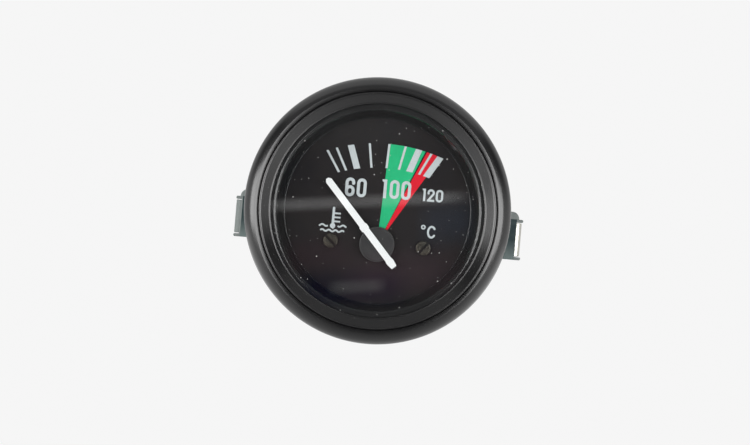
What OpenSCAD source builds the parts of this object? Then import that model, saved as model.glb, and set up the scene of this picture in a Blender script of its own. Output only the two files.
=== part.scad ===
// Water temperature gauge for a vehicle dashboard: a round panel instrument, 52 mm cut-out.
// The gauge is drawn looking at its dial: x to the right, y up to twelve o'clock, z out of
// the dial. The panel seat, the rear of the bezel, is z = 0. Every piece is then turned so
// that the dial faces -Y, twelve o'clock is +Z and the seat's centre is the origin.

/* [Case] */
// Outer diameter of the can behind the bezel, which drops into the panel's hole
case_d = 51.6; // [50.8:0.2:52.4]
// Sheet thickness of the can
case_wall = 0.6; // [0.5:0.05:0.8]
// Depth of the can, from the panel seat to its rear face
case_depth = 34; // [33:0.5:38]
// Outside radius of the can's rear corner
case_corner_r = 2; // [1:0.25:2.5]
// Radial gap between the can's flange and the wall of the bezel
flange_gap = 0.2; // [0.1:0.05:0.5]

/* [Bezel] */
// Outer diameter of the bezel
bezel_d = 60; // [59:0.5:62]
// Sheet thickness of the bezel
bezel_sheet = 0.6; // [0.5:0.05:0.7]
// Height of the rolled front above the panel seat
bezel_h = 6.4; // [6.2:0.1:8]
// Radius of the rolled outer side
roll_outer_r = 3.6; // [3.3:0.1:4]
// Distance of the crest from the bezel's outer edge
crest_in = 2; // [1.8:0.1:2.2]
// Radius of the crest's inner side, down to the groove
roll_inner_r = 1.6; // [1.4:0.1:1.8]
// Distance from the crest to the groove's outer wall
crest_w = 0.9; // [0.7:0.05:1]
// Depth of the groove below the crest
groove_depth = 2.1; // [1.9:0.05:2.2]
// Width of the groove, from its outer wall to the bead
groove_w = 0.35; // [0.3:0.05:0.5]
// Radius of the bead at the outer edge of the sloping band
bead_r = 0.5; // [0.4:0.05:0.55]
// Depth of the bead's top below the crest
bead_drop = 0.55; // [0.45:0.05:0.7]
// Width of the sloping band and its bead, from the groove to the lip
band_w = 2.6; // [2.4:0.1:2.8]
// Thickness of the lip over the glass
lip_t = 0.9; // [0.8:0.05:1]
// Gap between the can and the crimped rear rim
crimp_gap = 1.2; // [1:0.1:1.6]

/* [Glass and spacer] */
// Thickness of the glass
glass_t = 1.7; // [1.5:0.1:2]
// Radial gap between the glass and the wall of the bezel
glass_gap = 1; // [0.8:0.1:1.6]
// Thickness of the rubber ring under the glass
seal_t = 0.7; // [0.5:0.05:0.9]
// Gap between the glass and the spacer under it
spacer_gap = 0.15; // [0.1:0.05:0.3]
// Inner diameter of the spacer at the glass
spacer_top_d = 45.7; // [45:0.1:46.3]
// Inner diameter of the spacer at the dial
spacer_foot_d = 42.2; // [41:0.1:43.5]
// Wall of the spacer
spacer_wall = 1; // [0.8:0.1:1.2]
// Radius of the spacer's rounded top edge
spacer_round = 0.7; // [0.5:0.05:0.8]

/* [Dial] */
// Depth of the dial's face below the panel seat
dial_depth = 5.6; // [5:0.1:6.4]
// Thickness of the dial plate
dial_t = 0.6; // [0.5:0.1:0.8]
// Thickness of one layer of printing
ink_t = 0.02; // [0.02:0.01:0.04]
// Pivot's place to the right of the dial's centre
pivot_x = 0.5; // [0:0.1:1]
// Pivot's place below the dial's centre
pivot_drop = 7.6; // [7:0.1:8]
// Distance of each dial screw from the pivot
dial_screw_reach = 10.6; // [10:0.1:11.2]
// Diameter of a dial screw's head
dial_screw_head_d = 3.4; // [3:0.1:3.8]
// Height of a dial screw's head
dial_screw_head_h = 1; // [0.8:0.05:1.2]
// Diameter of a dial screw's thread
dial_screw_d = 2; // [1.6:0.1:2.2]

/* [Scale] */
// Radius of the arc on which the scale's marks end
mark_outer_r = 37.2; // [36.8:0.1:37.6]
// Radius of the arc on which the scale's marks begin
mark_inner_r = 33.1; // [32.8:0.1:33.6]
// Width of a thin mark
thin_mark_w = 0.5; // [0.4:0.05:0.7]
// Width of a thick mark
thick_mark_w = 1.45; // [1.2:0.05:1.7]
// Height of the large numerals
large_h = 4.3; // [3.8:0.1:4.5]
// Height of the small numerals
small_h = 2.85; // [2.5:0.05:3.1]
// Width of the coolant symbol's wavy line
wave_w = 5.2; // [4.6:0.1:5.6]

/* [Pointer] */
// Length of the pointer from the pivot to its tip
pointer_reach = 18.8; // [17:0.1:19.6]
// Length of the pointer's tail
pointer_tail = 6.65; // [6:0.05:7.5]
// Width of the pointer's blade
pointer_w = 1.55; // [1.3:0.05:1.7]
// Thickness of the pointer's blade
pointer_t = 0.5; // [0.4:0.05:0.7]
// Diameter of the round cover over the pivot
hub_d = 8; // [7:0.1:8.6]
// Thickness of the round cover
hub_t = 0.8; // [0.6:0.1:1]
// Height of the hub's boss, from the dial to the cover
hub_boss_h = 0.8; // [0.6:0.1:1]
// Diameter of the spindle
spindle_d = 1; // [0.8:0.1:1.2]
// Angle of the resting pointer, left of twelve o'clock
rest_angle = 41.8; // [40:0.2:43]
// Turn from the cold stop to the hot stop
sweep_angle = 77; // [70:1:80]

/* [Movement] */
// Depth of the movement plate's front below the dial plate
pillar_h = 4; // [3.8:0.1:4.6]
// Diameter of a dial pillar
pillar_d = 4; // [3.6:0.1:4.4]
// Thickness of the movement plate
plate_t = 1.2; // [1:0.1:1.4]
// Outer diameter of the steel shield can
shield_d = 24.4; // [24:0.1:25]
// Wall of the shield can
shield_wall = 0.5; // [0.4:0.05:0.6]
// Side of the square coil former
former_side = 15; // [14:0.1:15.2]
// Length of the coil former
former_l = 10; // [9:0.1:10.4]
// Depth of one winding
coil_t = 0.9; // [0.7:0.05:1]
// Width of each half of a winding
coil_w = 2.8; // [2.4:0.1:3]
// Gap between the two halves of a winding
coil_split = 5.2; // [5:0.1:5.6]
// Diameter of the rotor magnet
magnet_d = 9.2; // [8.6:0.1:9.6]
// Thickness of the rotor magnet
magnet_t = 3; // [2.5:0.1:3.5]
// Radius at which the stop arm meets its posts
stop_r = 6; // [5.6:0.1:6.4]
// Diameter of a stop post
stop_post_d = 1.6; // [1.4:0.1:1.8]
// Width of the stop arm
stop_arm_w = 0.8; // [0.6:0.1:1]
// Diameter of a support post
post_d = 5; // [4.8:0.1:5.4]
// Side of the square ballast resistor
ballast_side = 6; // [5:0.1:6.4]
// Length of the ballast resistor
ballast_l = 15; // [13:0.5:18]

/* [Terminals] */
// Width of a blade terminal
blade_w = 6.3; // [6:0.05:6.4]
// Thickness of a blade terminal
blade_t = 0.8; // [0.7:0.05:0.9]
// Length of a blade terminal behind the case
blade_l = 10; // [8:0.5:11]
// Distance of the supply and sender blades from the middle plane
blade_x = 14.5; // [14:0.1:15]
// Height of the supply and sender blades above the centre
blade_y = 10; // [9.6:0.1:10.4]
// Depth of the ground blade below the centre
ground_drop = 17; // [16.6:0.1:17.4]
// Thickness of the terminal board
board_t = 1.5; // [1.2:0.1:1.8]

/* [Lamp holder] */
// Height of the lamp above the centre
lamp_y = 13.5; // [13:0.1:14]
// Outer diameter of the lamp holder's tube
lamp_tube_d = 9.8; // [9.4:0.1:10]
// Wall of the lamp holder's tube
lamp_wall = 0.4; // [0.3:0.05:0.5]
// Diameter of the lamp holder's flange
lamp_flange_d = 13.6; // [13:0.1:14]
// Diameter of the lamp holder's body behind the flange
lamp_body_d = 11; // [10.6:0.1:12]
// Length of the lamp holder's body behind the flange
lamp_body_l = 6; // [5:0.1:8]
// Length of the lamp holder's tube inside the case
lamp_tube_l = 12; // [10:0.5:13]
// Length of the bulb's glass in front of its metal base
bulb_l = 7; // [6:0.5:8]

/* [Mounting bracket] */
// Thickness of the bracket's strap
strap_t = 1.2; // [1:0.1:1.4]
// Width of the strap
strap_w = 11.4; // [10.8:0.1:12]
// Depth of the middle of the strap below the gauge's centre
strap_drop = 3.2; // [3:0.1:3.6]
// Distance of each stud from the middle plane
stud_x = 15.5; // [15.3:0.1:15.9]
// Diameter of the studs
stud_d = 4; // [3.8:0.1:4.2]
// Diameter of the strap's holes for the studs
strap_hole_d = 5.6; // [5.4:0.1:6]
// How far the loose strap sits to the right on its studs
strap_shift = 0.6; // [0:0.05:0.65]
// Gap between the can and each leg of the strap
leg_gap = 1.7; // [1.6:0.1:2]
// Depth of the feet's faces below the panel seat, which is the panel gap
panel_gap = 7.5; // [7:0.1:8.5]
// Depth of the strap's front face, where it crosses behind the case
strap_depth = 41.3; // [41:0.1:43]
// How far each foot reaches past the bezel
foot_reach = 2.05; // [1.8:0.05:2.4]
// Length of the lip on each foot, bent back between its two teeth
lip_l = 0.7; // [0.6:0.05:0.9]
// Length of the teeth at both ends of each lip
tooth_l = 1.05; // [0.9:0.05:1.3]
// Width of each tooth
tooth_w = 0.8; // [0.7:0.05:1]
// Height of the foot's top above its upper tooth
foot_tab = 1.7; // [1.4:0.1:2]
// Bend of the left lip back from the foot's face
lip_bend_left = 40; // [30:1:60]
// Bend of the right lip back from the foot's face
lip_bend_right = 66; // [50:1:70]
// Outside radius of the strap's bends
strap_bend_r = 2; // [1.6:0.1:2.4]

/* [Studs and nuts] */
// Width across the flats of a stud's collar nut
collar_af = 7; // [6.6:0.1:7.4]
// Thickness of a collar nut
collar_t = 2; // [1.8:0.1:2.4]
// Length of a stud beyond its thumb nut
stud_spare = 4.5; // [4.2:0.1:6]
// Diameter of a thumb nut
nut_d = 10; // [9:0.1:11]
// Thickness of a thumb nut, with its shoulder
nut_t = 4.5; // [4:0.1:5.5]
// Thickness of a spring washer
washer_t = 1; // [0.8:0.1:1.2]
// Number of teeth in a thumb nut's knurl
knurl_teeth = 30; // [20:2:36]

/* [Hidden] */
$fn = 64;

// Clearances
fit = 0.05;          // a pin in its own hole, and parts that only just clear
snug = 0.02;         // a part pressed onto another
run = 0.05;          // a turning shaft in its bearing
nut_run = 0.08;      // a thumb nut on its stud
stop_gap = 0.15;     // the stop arm and its post, at either end of the sweep
slip = 0.3;          // the lamp tube in the case's hole

// Case and bezel, from the panel seat forwards
case_r = case_d / 2;
case_inner_r = case_r - case_wall;
bezel_r = bezel_d / 2;
bezel_inner_r = bezel_r - bezel_sheet;
flange_r = bezel_inner_r - flange_gap;
crimp_r = min(case_r + crimp_gap, (case_r + flange_r) / 2);
flange_back = bezel_sheet;
flange_front = flange_back + case_wall;
glass_back = flange_front + seal_t;
glass_front = glass_back + glass_t;
glass_r = bezel_inner_r - glass_gap;
crest_r = bezel_r - crest_in;
groove_r = crest_r - crest_w;
bead_x = groove_r - groove_w - bead_r;
lip_r = groove_r - groove_w - band_w;
rear_wall = -case_depth + case_wall;

// Dial and movement, from the dial's face backwards
dial_face = -dial_depth;
dial_back = dial_face - dial_t;
dial_r = case_inner_r - 0.3;
pivot = [pivot_x, -pivot_drop];
pillar_at = [for (s = [-1, 1]) pivot + [s * dial_screw_reach, 0]];
plate_front = dial_back - pillar_h;
plate_back = plate_front - plate_t;
post_at = [for (s = [-1, 1]) [s * stud_x, -strap_drop]];
coil_play = 0.2;
former_front_z = plate_back - coil_play - 2 * coil_t;
former_mid_z = former_front_z - former_l / 2;
former_rear_z = former_front_z - former_l;
former_wall = 1;
cavity_r = magnet_d / 2 + 0.6;
shield_r = shield_d / 2;
shield_floor = former_rear_z - 2 * coil_t - coil_play - 0.1;
shield_rear = shield_floor - shield_wall;
spindle_r = spindle_d / 2;
bearing_flange_t = 0.8;
stop_arm_t = 0.8;
stop_arm_z = (plate_front + bearing_flange_t + dial_back) / 2;
rest_dir = -rest_angle;
arm_rest = 180 - sweep_angle / 2;
stop_offset = asin((stop_arm_w / 2 + stop_post_d / 2 + stop_gap) / stop_r);

// Pointer, from the dial's face forwards
hub_back = dial_face + 0.2;
cover_back = hub_back + hub_boss_h;
blade_back = cover_back + hub_t;
blade_front = blade_back + pointer_t;

// Terminals, lamp and rear
board_front = rear_wall + board_t;
terminals_at = [[-blade_x, blade_y], [blade_x, blade_y], [0, -ground_drop]];
terminals_turn = [0, 180, 90];
lamp_at = [0, lamp_y];
lamp_r = lamp_tube_d / 2;
lamp_flange_t = 1;
lamp_seat = -case_depth - fit;
lamp_rear = lamp_seat - lamp_flange_t - lamp_body_l;
lamp_front = -case_depth + lamp_tube_l;
bulb_r = lamp_r - lamp_wall - fit;
bulb_base_l = 8;
bulb_back = lamp_front - bulb_base_l;

// Bracket, studs and nuts
leg_x = case_r + leg_gap + strap_t / 2;
foot_run = 1.5;        // flat part of a foot beside its bend, at least
foot_x = max(bezel_r + foot_reach, leg_x + strap_bend_r - strap_t / 2 + foot_run);
foot_z = -panel_gap - strap_t / 2;
base_z = -strap_depth - strap_t / 2;
strap_low = -strap_drop - strap_w / 2;
strap_high = -strap_drop + strap_w / 2;
bend_mid_r = strap_bend_r - strap_t / 2;
fold_mid_r = strap_t / 2 + 0.15;
tooth_gap = 0.15;      // between each tooth and the lip
stud_r = stud_d / 2;
washer_back = -strap_depth - strap_t - washer_t;
washer_w = 1.8;
washer_split = 0.5;
nut_back = washer_back - nut_t;
stud_end = nut_back - stud_spare;
stud_front = rear_wall + 5.4;

// The scale: each mark's angle from twelve o'clock about the pivot, and whether it is thick
marks = [
    [-32.5, false], [-27.4, false], [-19.5, true], [-8.9, false], [2.3, false],
    [11.6, false], [19.2, true], [26.2, false], [31.3, true],
];
scale_top = 15.45;
scale_foot = 9.92;
mark_outer_at = [1.03, scale_top - mark_outer_r];
mark_inner_at = [1.3, scale_foot - mark_inner_r];
green_from = 2.4;
green_to = 22.8;
red_from = 23.7;
red_to = marks[8][0];
stroke_large = 0.69;
stroke_small = 0.48;

// Placing

// Turns a piece drawn in the dial's view so that the dial faces -Y
module face_panel() { rotate([90, 0, 0]) children(); }

// A cylinder or tube between two depths, centred at a point of the dial's view
module disc(at, r, z0, z1, bore = 0) {
    translate([at[0], at[1], z0])
        if (bore > 0) linear_extrude(z1 - z0) difference() { circle(r); circle(bore); }
        else cylinder(r = r, h = z1 - z0);
}

// A block between two depths, centred at a point of the dial's view
module block(at, size, z0, z1) {
    translate([at[0] - size[0] / 2, at[1] - size[1] / 2, z0])
        cube([size[0], size[1], z1 - z0]);
}

// Draws its children at the pivot, turned clockwise from twelve o'clock
module at_pivot(clockwise = 0) {
    translate([pivot[0], pivot[1], 0]) rotate([0, 0, -clockwise]) children();
}

// Curves

// Points on part of an ellipse, in n steps
function arc(at, rx, ry, a0, a1, n) =
    [for (i = [0:n]) let (a = a0 + (a1 - a0) * i / n) at + [rx * cos(a), ry * sin(a)]];

// Unit tangent of a path at its point i
function tangent(p, i) =
    let (d = p[min(i + 1, len(p) - 1)] - p[max(i - 1, 0)]) d / norm(d);

// The path moved sideways by a distance, to the left when positive
function beside(p, d) =
    [for (i = [0:len(p) - 1]) let (t = tangent(p, i)) p[i] + d * [-t[1], t[0]]];

// Closed outline of a band of width w that follows a path
function band(p, w) =
    concat(beside(p, w / 2), [for (i = [len(p) - 1:-1:0]) beside(p, -w / 2)[i]]);

// Points of a round end of radius r, from the left of a heading to its right, or with
// a side of -1 from its right to its left
function round_end(at, heading, r, side = 1) = let (a = atan2(heading[1], heading[0]))
    [for (i = [1:7]) let (b = a + side * (90 - 22.5 * i)) at + r * [cos(b), sin(b)]];

// A line of width w along a path, with round ends
module stroke(p, w) {
    last = len(p) - 1;
    polygon(concat(
        beside(p, w / 2), round_end(p[last], tangent(p, last), w / 2),
        [for (i = [last:-1:0]) beside(p, -w / 2)[i]],
        round_end(p[0], -tangent(p, 0), w / 2)));
}

// Outline of an upright shape with half-round ends
function pill(w, h) = concat(
    arc([0, (h - w) / 2], w / 2, w / 2, 0, 180, 18),
    arc([0, (w - h) / 2], w / 2, w / 2, 180, 360, 18));

// Numerals, each centred, h high, w wide, with lines s wide

module zero(h, w, s) {
    difference() {
        polygon(pill(w, h));
        polygon(pill(w - 2 * s, h - 2 * s));
    }
}

// The six is one outline: hook, stem and bowl, then the bowl's opening
module six(h, w, s) {
    r = w / 2;
    inner = r - s;
    rise = (h - w) / 2;
    bowl_h = 0.59 * h;
    bowl_top = -rise + bowl_h - w;
    end = -14;
    join = 180 - acos(inner / r);
    difference() {
        polygon(concat(
            arc([0, rise], r, r, end, 180, 20), arc([0, -rise], r, r, 180, 360, 18),
            arc([0, bowl_top], r, r, 0, join, 12), arc([0, rise], inner, inner, 180, end, 18),
            round_end([0, rise] + (inner + s / 2) * [cos(end), sin(end)],
                [sin(end), -cos(end)], s / 2, -1)));
        translate([0, (bowl_h - h) / 2]) polygon(pill(w - 2 * s, bowl_h - 2 * s));
    }
}

module one(h, s) {
    polygon([
        [s / 2, -h / 2], [s / 2, h / 2], [-s * 1.02, h / 2], [-s * 1.08, h / 2 - s * 0.3],
        [-s, h / 2 - s * 0.68], [-s / 2, h / 2 - s * 0.86], [-s / 2, -h / 2],
    ]);
}

// The two is one outline: the hook, the slope down to the left and the foot
module two(h, w, s) {
    r = w / 2;
    inner = r - s;
    rise = (h - w) / 2;
    start = 196;
    end = -32;
    outer_p = [0, rise] + r * [cos(end), sin(end)];
    inner_p = [0, rise] + inner * [cos(end), sin(end)];
    land = [-r, 0.6 * s - h / 2];
    down = (land - inner_p) / norm(land - inner_p);
    outer_run = (outer_p[1] + h / 2 - s) / -down[1];
    polygon(concat(
        arc([0, rise], r, r, start, end, 20),
        [outer_p + outer_run * down, [r, s - h / 2], [r, -h / 2], [-r, -h / 2], land],
        arc([0, rise], inner, inner, end, start, 16),
        round_end([0, rise] + (inner + s / 2) * [cos(start), sin(start)],
            [-sin(start), cos(start)], s / 2)));
}

// A sine-like wave line, centred, running from x0 to x1 with a crest at the given x
module wave(x0, x1, crest, length, height, w) {
    steps = ceil((x1 - x0) / length * 16);
    stroke([for (i = [0:steps]) let (x = x0 + (x1 - x0) * i / steps)
        [x, height * cos(360 * (x - crest) / length)]], w);
}

// Outline of a thermometer that stands on its bulb, with three rungs to the right
function thermometer(bulb_r, stem_r, stem_h, rung_l, rung_w) =
    let (a = acos(stem_r / bulb_r)) concat(
        arc([0, 0], bulb_r, bulb_r, 180 - a, 360 + a, 24),
        [for (i = [0:2]) let (y = 1.02 + 0.93 * i)
            each [[stem_r, y - rung_w / 2], [stem_r + rung_l, y - rung_w / 2],
                [stem_r + rung_l, y + rung_w / 2], [stem_r, y + rung_w / 2]]],
        arc([0, stem_h], stem_r, stem_r, 0, 180, 8));

// The coolant symbol: a thermometer standing in waves, centred at its bulb
module coolant_symbol() {
    line = 0.38;
    length = wave_w / 3.4;
    polygon(thermometer(0.61, 0.28, 4.05, 1.35, line));
    translate([-2.1, 0]) wave(-0.86, 0.86, -0.25, length * 1.12, 0.19, line);
    translate([2.15, 0.05]) wave(-0.86, 0.86, 0.25, length * 1.12, 0.19, line);
    translate([0, -1.15]) wave(-wave_w / 2, wave_w / 2, length / 2, length, 0.18, line);
}

// A mark of the scale, between the two arcs of the scale
module mark(angle, w) {
    intersection() {
        difference() {
            translate(mark_outer_at) circle(mark_outer_r, $fn = 180);
            translate(mark_inner_at) circle(mark_inner_r, $fn = 180);
        }
        translate(pivot) rotate(-angle) translate([-w / 2, 0]) square([w, 40]);
    }
}

// A coloured zone of the scale between two angles, from the hub's edge to the outer arc
module zone(from, to) {
    far = 60;
    difference() {
        intersection() {
            translate(mark_outer_at) circle(mark_outer_r, $fn = 180);
            translate(pivot) polygon([[0, 0], far * [sin(from), cos(from)],
                far * [sin(to), cos(to)]]);
        }
        translate(pivot) circle(hub_d / 2 + 0.05);
    }
}

module lettering() {
    large_w = large_h * 0.51;
    small_w = small_h * 0.59;
    translate([-6.7, 4.95]) six(large_h, large_w, stroke_large);
    translate([-4.05, 4.95]) zero(large_h, large_w, stroke_large);
    translate([1.3, 5.18]) one(large_h, stroke_large);
    for (x = [3.45, 6.1]) translate([x, 5.2]) zero(large_h, large_w, stroke_large);
    translate([10.36, 4.56]) one(small_h, stroke_small);
    translate([11.84, 4.56]) two(small_h, small_w, stroke_small);
    translate([13.8, 4.56]) zero(small_h, small_w, stroke_small);
    translate([10.73, -2.78]) difference() { circle(0.53); circle(0.22, $fn = 32); }
    translate([12.68, -3.77]) stroke(arc([0, 0], 0.8, 1.22, 38, 322, 28), 0.46);
    translate([-9.92, -4.2]) coolant_symbol();
}

// Fixed pieces of the gauge's front

module case_can() {
    c = case_corner_r;
    inner_c = max(c - case_wall, 0.1);
    color("silver") face_panel() difference() {
        rotate_extrude($fn = 128) polygon(concat(
            [[0, -case_depth]],
            arc([case_r - c, c - case_depth], c, c, -90, 0, 8),
            [[case_r, flange_back], [flange_r, flange_back], [flange_r, flange_front],
                [case_inner_r, flange_front]],
            arc([case_inner_r - inner_c, rear_wall + inner_c], inner_c, inner_c, 0, -90, 8),
            [[0, rear_wall]]));
        for (p = post_at) disc(p, stud_r + fit, -case_depth - 1, rear_wall + 1);
        disc(lamp_at, lamp_r + slip, -case_depth - 1, rear_wall + 1);
        for (i = [0:2]) translate([terminals_at[i][0], terminals_at[i][1], 0])
            rotate([0, 0, terminals_turn[i]])
                block([0, 0], [blade_t + 2.8, blade_w + 2.4], -case_depth - 1, rear_wall + 1);
    }
}

module bezel_ring() {
    t = bezel_sheet;
    roll_r = bezel_r - roll_outer_r;
    roll_z = bezel_h - sqrt(pow(roll_outer_r, 2) - pow(crest_r - roll_r, 2));
    roll_end = atan2(bezel_h - roll_z, crest_r - roll_r);
    crest_z = bezel_h - roll_inner_r;
    wall_end = acos((groove_r - crest_r) / roll_inner_r);
    groove_z = bezel_h - groove_depth;
    bead_z = bezel_h - bead_drop - bead_r;
    lip_z = glass_front;
    lip_flat = 0.35;
    relief = 0.15;
    color("#1c1c1e") face_panel() rotate_extrude($fn = 192) polygon(concat(
        [[crimp_r, 0]],
        arc([bezel_r - t, t], t, t, -90, 0, 5),
        arc([roll_r, roll_z], roll_outer_r, roll_outer_r, 0, roll_end, 14),
        arc([crest_r, crest_z], roll_inner_r, roll_inner_r, 96, wall_end, 4),
        [[groove_r, groove_z], [bead_x + bead_r, groove_z]],
        arc([bead_x, bead_z], bead_r, bead_r, 0, 128, 8),
        [[lip_r + lip_flat, lip_z + lip_t], [lip_r, lip_z + lip_t], [lip_r, lip_z],
            [lip_r + lip_flat, lip_z], [lip_r + lip_flat + relief, lip_z + relief],
            [groove_r + t, lip_z + relief], [groove_r + t, crest_z - 0.2]],
        arc([roll_r, roll_z], roll_outer_r - t, roll_outer_r - t, roll_end, 0, 12),
        [[bezel_inner_r, t], [crimp_r, t]]));
}

module glass_lens() {
    color("white", 0.3) face_panel() disc([0, 0], glass_r, glass_back, glass_front);
}

module lens_seal() {
    color("#141414") face_panel()
        disc([0, 0], glass_r, flange_front, glass_back, case_inner_r + 0.1);
}

module spacer_ring() {
    top = glass_back - spacer_gap;
    rim_r = case_inner_r - 0.1;
    top_r = spacer_top_d / 2;
    foot_r = spacer_foot_d / 2;
    round_r = spacer_round;
    color("#202022") face_panel() rotate_extrude($fn = 128) polygon(concat(
        [[foot_r, dial_face], [foot_r + spacer_wall, dial_face],
            [top_r + spacer_wall, top - spacer_wall], [rim_r, top - spacer_wall],
            [rim_r, top]],
        arc([top_r + round_r, top - round_r], round_r, round_r, 90, 172, 6)));
}

module dial_plate() {
    color("#26262a") face_panel() difference() {
        disc([0, 0], dial_r, dial_back, dial_face);
        disc(pivot, spindle_r + 1.1, dial_back - 1, dial_face + 1);
        for (p = pillar_at) disc(p, dial_screw_d / 2 + fit, dial_back - 1, dial_face + 1);
    }
}

module dial_print_white() {
    color("white") face_panel() translate([0, 0, dial_face + ink_t])
        linear_extrude(2 * ink_t) {
            for (m = marks) mark(m[0], m[1] ? thick_mark_w : thin_mark_w);
            lettering();
        }
}

module dial_print_green() {
    color("#32be82") face_panel() translate([0, 0, dial_face])
        linear_extrude(ink_t) zone(green_from, green_to);
}

module dial_print_red() {
    color("#ee2a3c") face_panel() translate([0, 0, dial_face])
        linear_extrude(ink_t) zone(red_from, red_to);
}

module dial_screws() {
    slot_turn = [-50, 62];
    color("#4a463a") face_panel() for (i = [0:1]) {
        difference() {
            disc(pillar_at[i], dial_screw_head_d / 2, dial_face,
                dial_face + dial_screw_head_h);
            translate([pillar_at[i][0], pillar_at[i][1], 0]) rotate([0, 0, slot_turn[i]])
                block([0, 0], [dial_screw_head_d + 1, 0.5],
                    dial_face + dial_screw_head_h / 2, dial_face + dial_screw_head_h + 1);
        }
        disc(pillar_at[i], dial_screw_d / 2, dial_back - pillar_h + 0.4, dial_face);
    }
}

// The movement and what carries it

module dial_pillars() {
    bore = dial_screw_d / 2 + fit;
    spigot_r = bore + 0.4;
    color("#c9b06a") face_panel() for (p = pillar_at) {
        disc(p, pillar_d / 2, plate_front, dial_back, bore);
        disc(p, spigot_r, plate_back, plate_front, bore);
    }
}

module movement_plate() {
    arm_w = post_d + 3;
    color("silver") face_panel() difference() {
        union() {
            disc(pivot, shield_r + 1.2, plate_back, plate_front);
            for (p = post_at) disc(p, arm_w / 2, plate_back, plate_front);
            block([0, -strap_drop], [2 * stud_x, arm_w], plate_back, plate_front);
        }
        disc(pivot, spindle_r + 1.95, plate_back - 1, plate_front + 1);
        for (p = pillar_at)
            disc(p, dial_screw_d / 2 + 2 * fit + 0.4, plate_back - 1, plate_front + 1);
        for (p = post_at) disc(p, 1.6, plate_back - 1, plate_front + 1);
        for (s = [-1, 1]) translate(stop_post_at(s))
            cylinder(r = stop_post_d / 2 + snug, h = 4 * plate_t, center = true);
    }
}

module support_posts() {
    color("silver") face_panel() for (p = post_at) difference() {
        disc(p, post_d / 2, rear_wall, plate_back);
        disc(p, stud_r + fit, rear_wall - 1, stud_front + 0.6);
        disc(p, 1.5, plate_back - 6.4, plate_back + 1);
    }
}

module post_screws() {
    head_h = 1.1;
    color("silver") face_panel() for (p = post_at) {
        difference() {
            disc(p, 2.4, plate_front, plate_front + head_h);
            block(p, [6, 0.6], plate_front + head_h / 2, plate_front + head_h + 1);
        }
        disc(p, 1.45, plate_back - 6, plate_front);
    }
}

module shield_can() {
    color("silver") face_panel() difference() {
        disc(pivot, shield_r, shield_rear, plate_back);
        disc(pivot, shield_r - shield_wall, shield_floor, plate_back + 1);
        for (p = lead_hole_at) disc(p, 0.7, shield_rear - 1, shield_floor + 1);
    }
}

// One half of the coil former, between two depths, open towards the middle plane
module former_half(z0, z1, cavity_z0, cavity_z1, hole_r) {
    color("ivory") face_panel() difference() {
        block(pivot, [former_side, former_side], z0, z1);
        disc(pivot, cavity_r, cavity_z0, cavity_z1);
        disc(pivot, hole_r, z0 - 1, z1 + 1);
    }
}

module former_front() {
    former_half(former_mid_z, former_front_z,
        former_mid_z - 1, former_front_z - former_wall, spindle_r + 0.3);
}

module former_rear() {
    former_half(former_rear_z, former_mid_z,
        former_rear_z + former_wall, former_mid_z + 1, spindle_r + 1 + fit);
}

// A winding round the former, in two halves that leave room for the spindle
module winding(inner, outer, z0, z1) {
    offset_x = (coil_split + coil_w) / 2;
    for (s = [-1, 1]) translate([pivot[0] + s * offset_x, pivot[1], 0]) difference() {
        block([0, 0], [coil_w, outer], z0, z1);
        block([0, 0], [coil_w + 1, inner], z0 + coil_t, z1 - coil_t);
    }
}

module coil_inner() {
    color("#b5651d") face_panel()
        winding(former_side, former_side + 2 * coil_t,
            former_rear_z - coil_t, former_front_z + coil_t);
}

module coil_outer() {
    color("#b5651d") face_panel()
        translate([pivot[0], pivot[1], 0]) rotate([0, 0, 90])
            translate([-pivot[0], -pivot[1], 0])
                winding(former_side, former_side + 2 * coil_t,
                    former_rear_z - 2 * coil_t, former_front_z + 2 * coil_t);
}

module upper_bearing() {
    body_r = spindle_r + 1.9;
    color("#c9a24a") face_panel() {
        disc(pivot, body_r, former_front_z, plate_front, spindle_r + run);
        disc(pivot, body_r + 1, plate_front, plate_front + bearing_flange_t,
            spindle_r + run);
    }
}

module lower_bearing() {
    color("#c9a24a") face_panel() difference() {
        disc(pivot, spindle_r + 1, shield_floor, former_rear_z + former_wall - 0.2);
        disc(pivot, spindle_r + run, spindle_foot - 0.1, former_rear_z + former_wall);
    }
}

module return_magnet() {
    length = 3;
    color("dimgray") face_panel()
        translate([pivot[0], pivot[1] + former_side / 2, former_mid_z])
            rotate([-90, 0, 0]) cylinder(r = 1.3, h = length);
}

// Place of a stop post on the movement plate: -1 is the cold stop, 1 the hot stop
function stop_post_at(s) =
    let (a = s < 0 ? arm_rest - stop_offset : arm_rest + sweep_angle + stop_offset)
        [pivot[0] + stop_r * sin(a), pivot[1] + stop_r * cos(a), plate_front];

module end_stops() {
    color("silver") face_panel() for (s = [-1, 1]) translate(stop_post_at(s))
        translate([0, 0, -plate_t])
            cylinder(d = stop_post_d, h = stop_arm_z - plate_front + plate_t + 0.8);
}

// The terminals, at the rear

rivet_inset = 2.6;
rivet_head_t = 0.5;
lead_depth = (board_front + blade_t + rivet_head_t + shield_rear) / 2;
lead_r = 0.35;
coil_rear = former_rear_z - 2 * coil_t;
lead_hole_at = [for (d = [[4, 4], [-4, 4], [0, -4]]) pivot + d];

module terminal_board() {
    color("#6b3f22") face_panel() difference() {
        disc([0, 0], case_inner_r - case_corner_r - 0.2, rear_wall, board_front);
        for (p = post_at) disc(p, post_d / 2 + 0.2, rear_wall - 1, board_front + 1);
        disc(lamp_at, lamp_r + slip + 0.2, rear_wall - 1, board_front + 1);
        for (i = [0:2]) at_terminal(i) {
            block([0, 0], [blade_t + 2 * fit, blade_w + 2 * fit],
                rear_wall - 1, board_front + 1);
            disc([rivet_inset, 0], 1.05, rear_wall - 1, board_front + 1);
        }
    }
}

// Draws its children at terminal i, with its foot towards +x
module at_terminal(i) {
    translate([terminals_at[i][0], terminals_at[i][1], 0])
        rotate([0, 0, terminals_turn[i]]) children();
}

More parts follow.
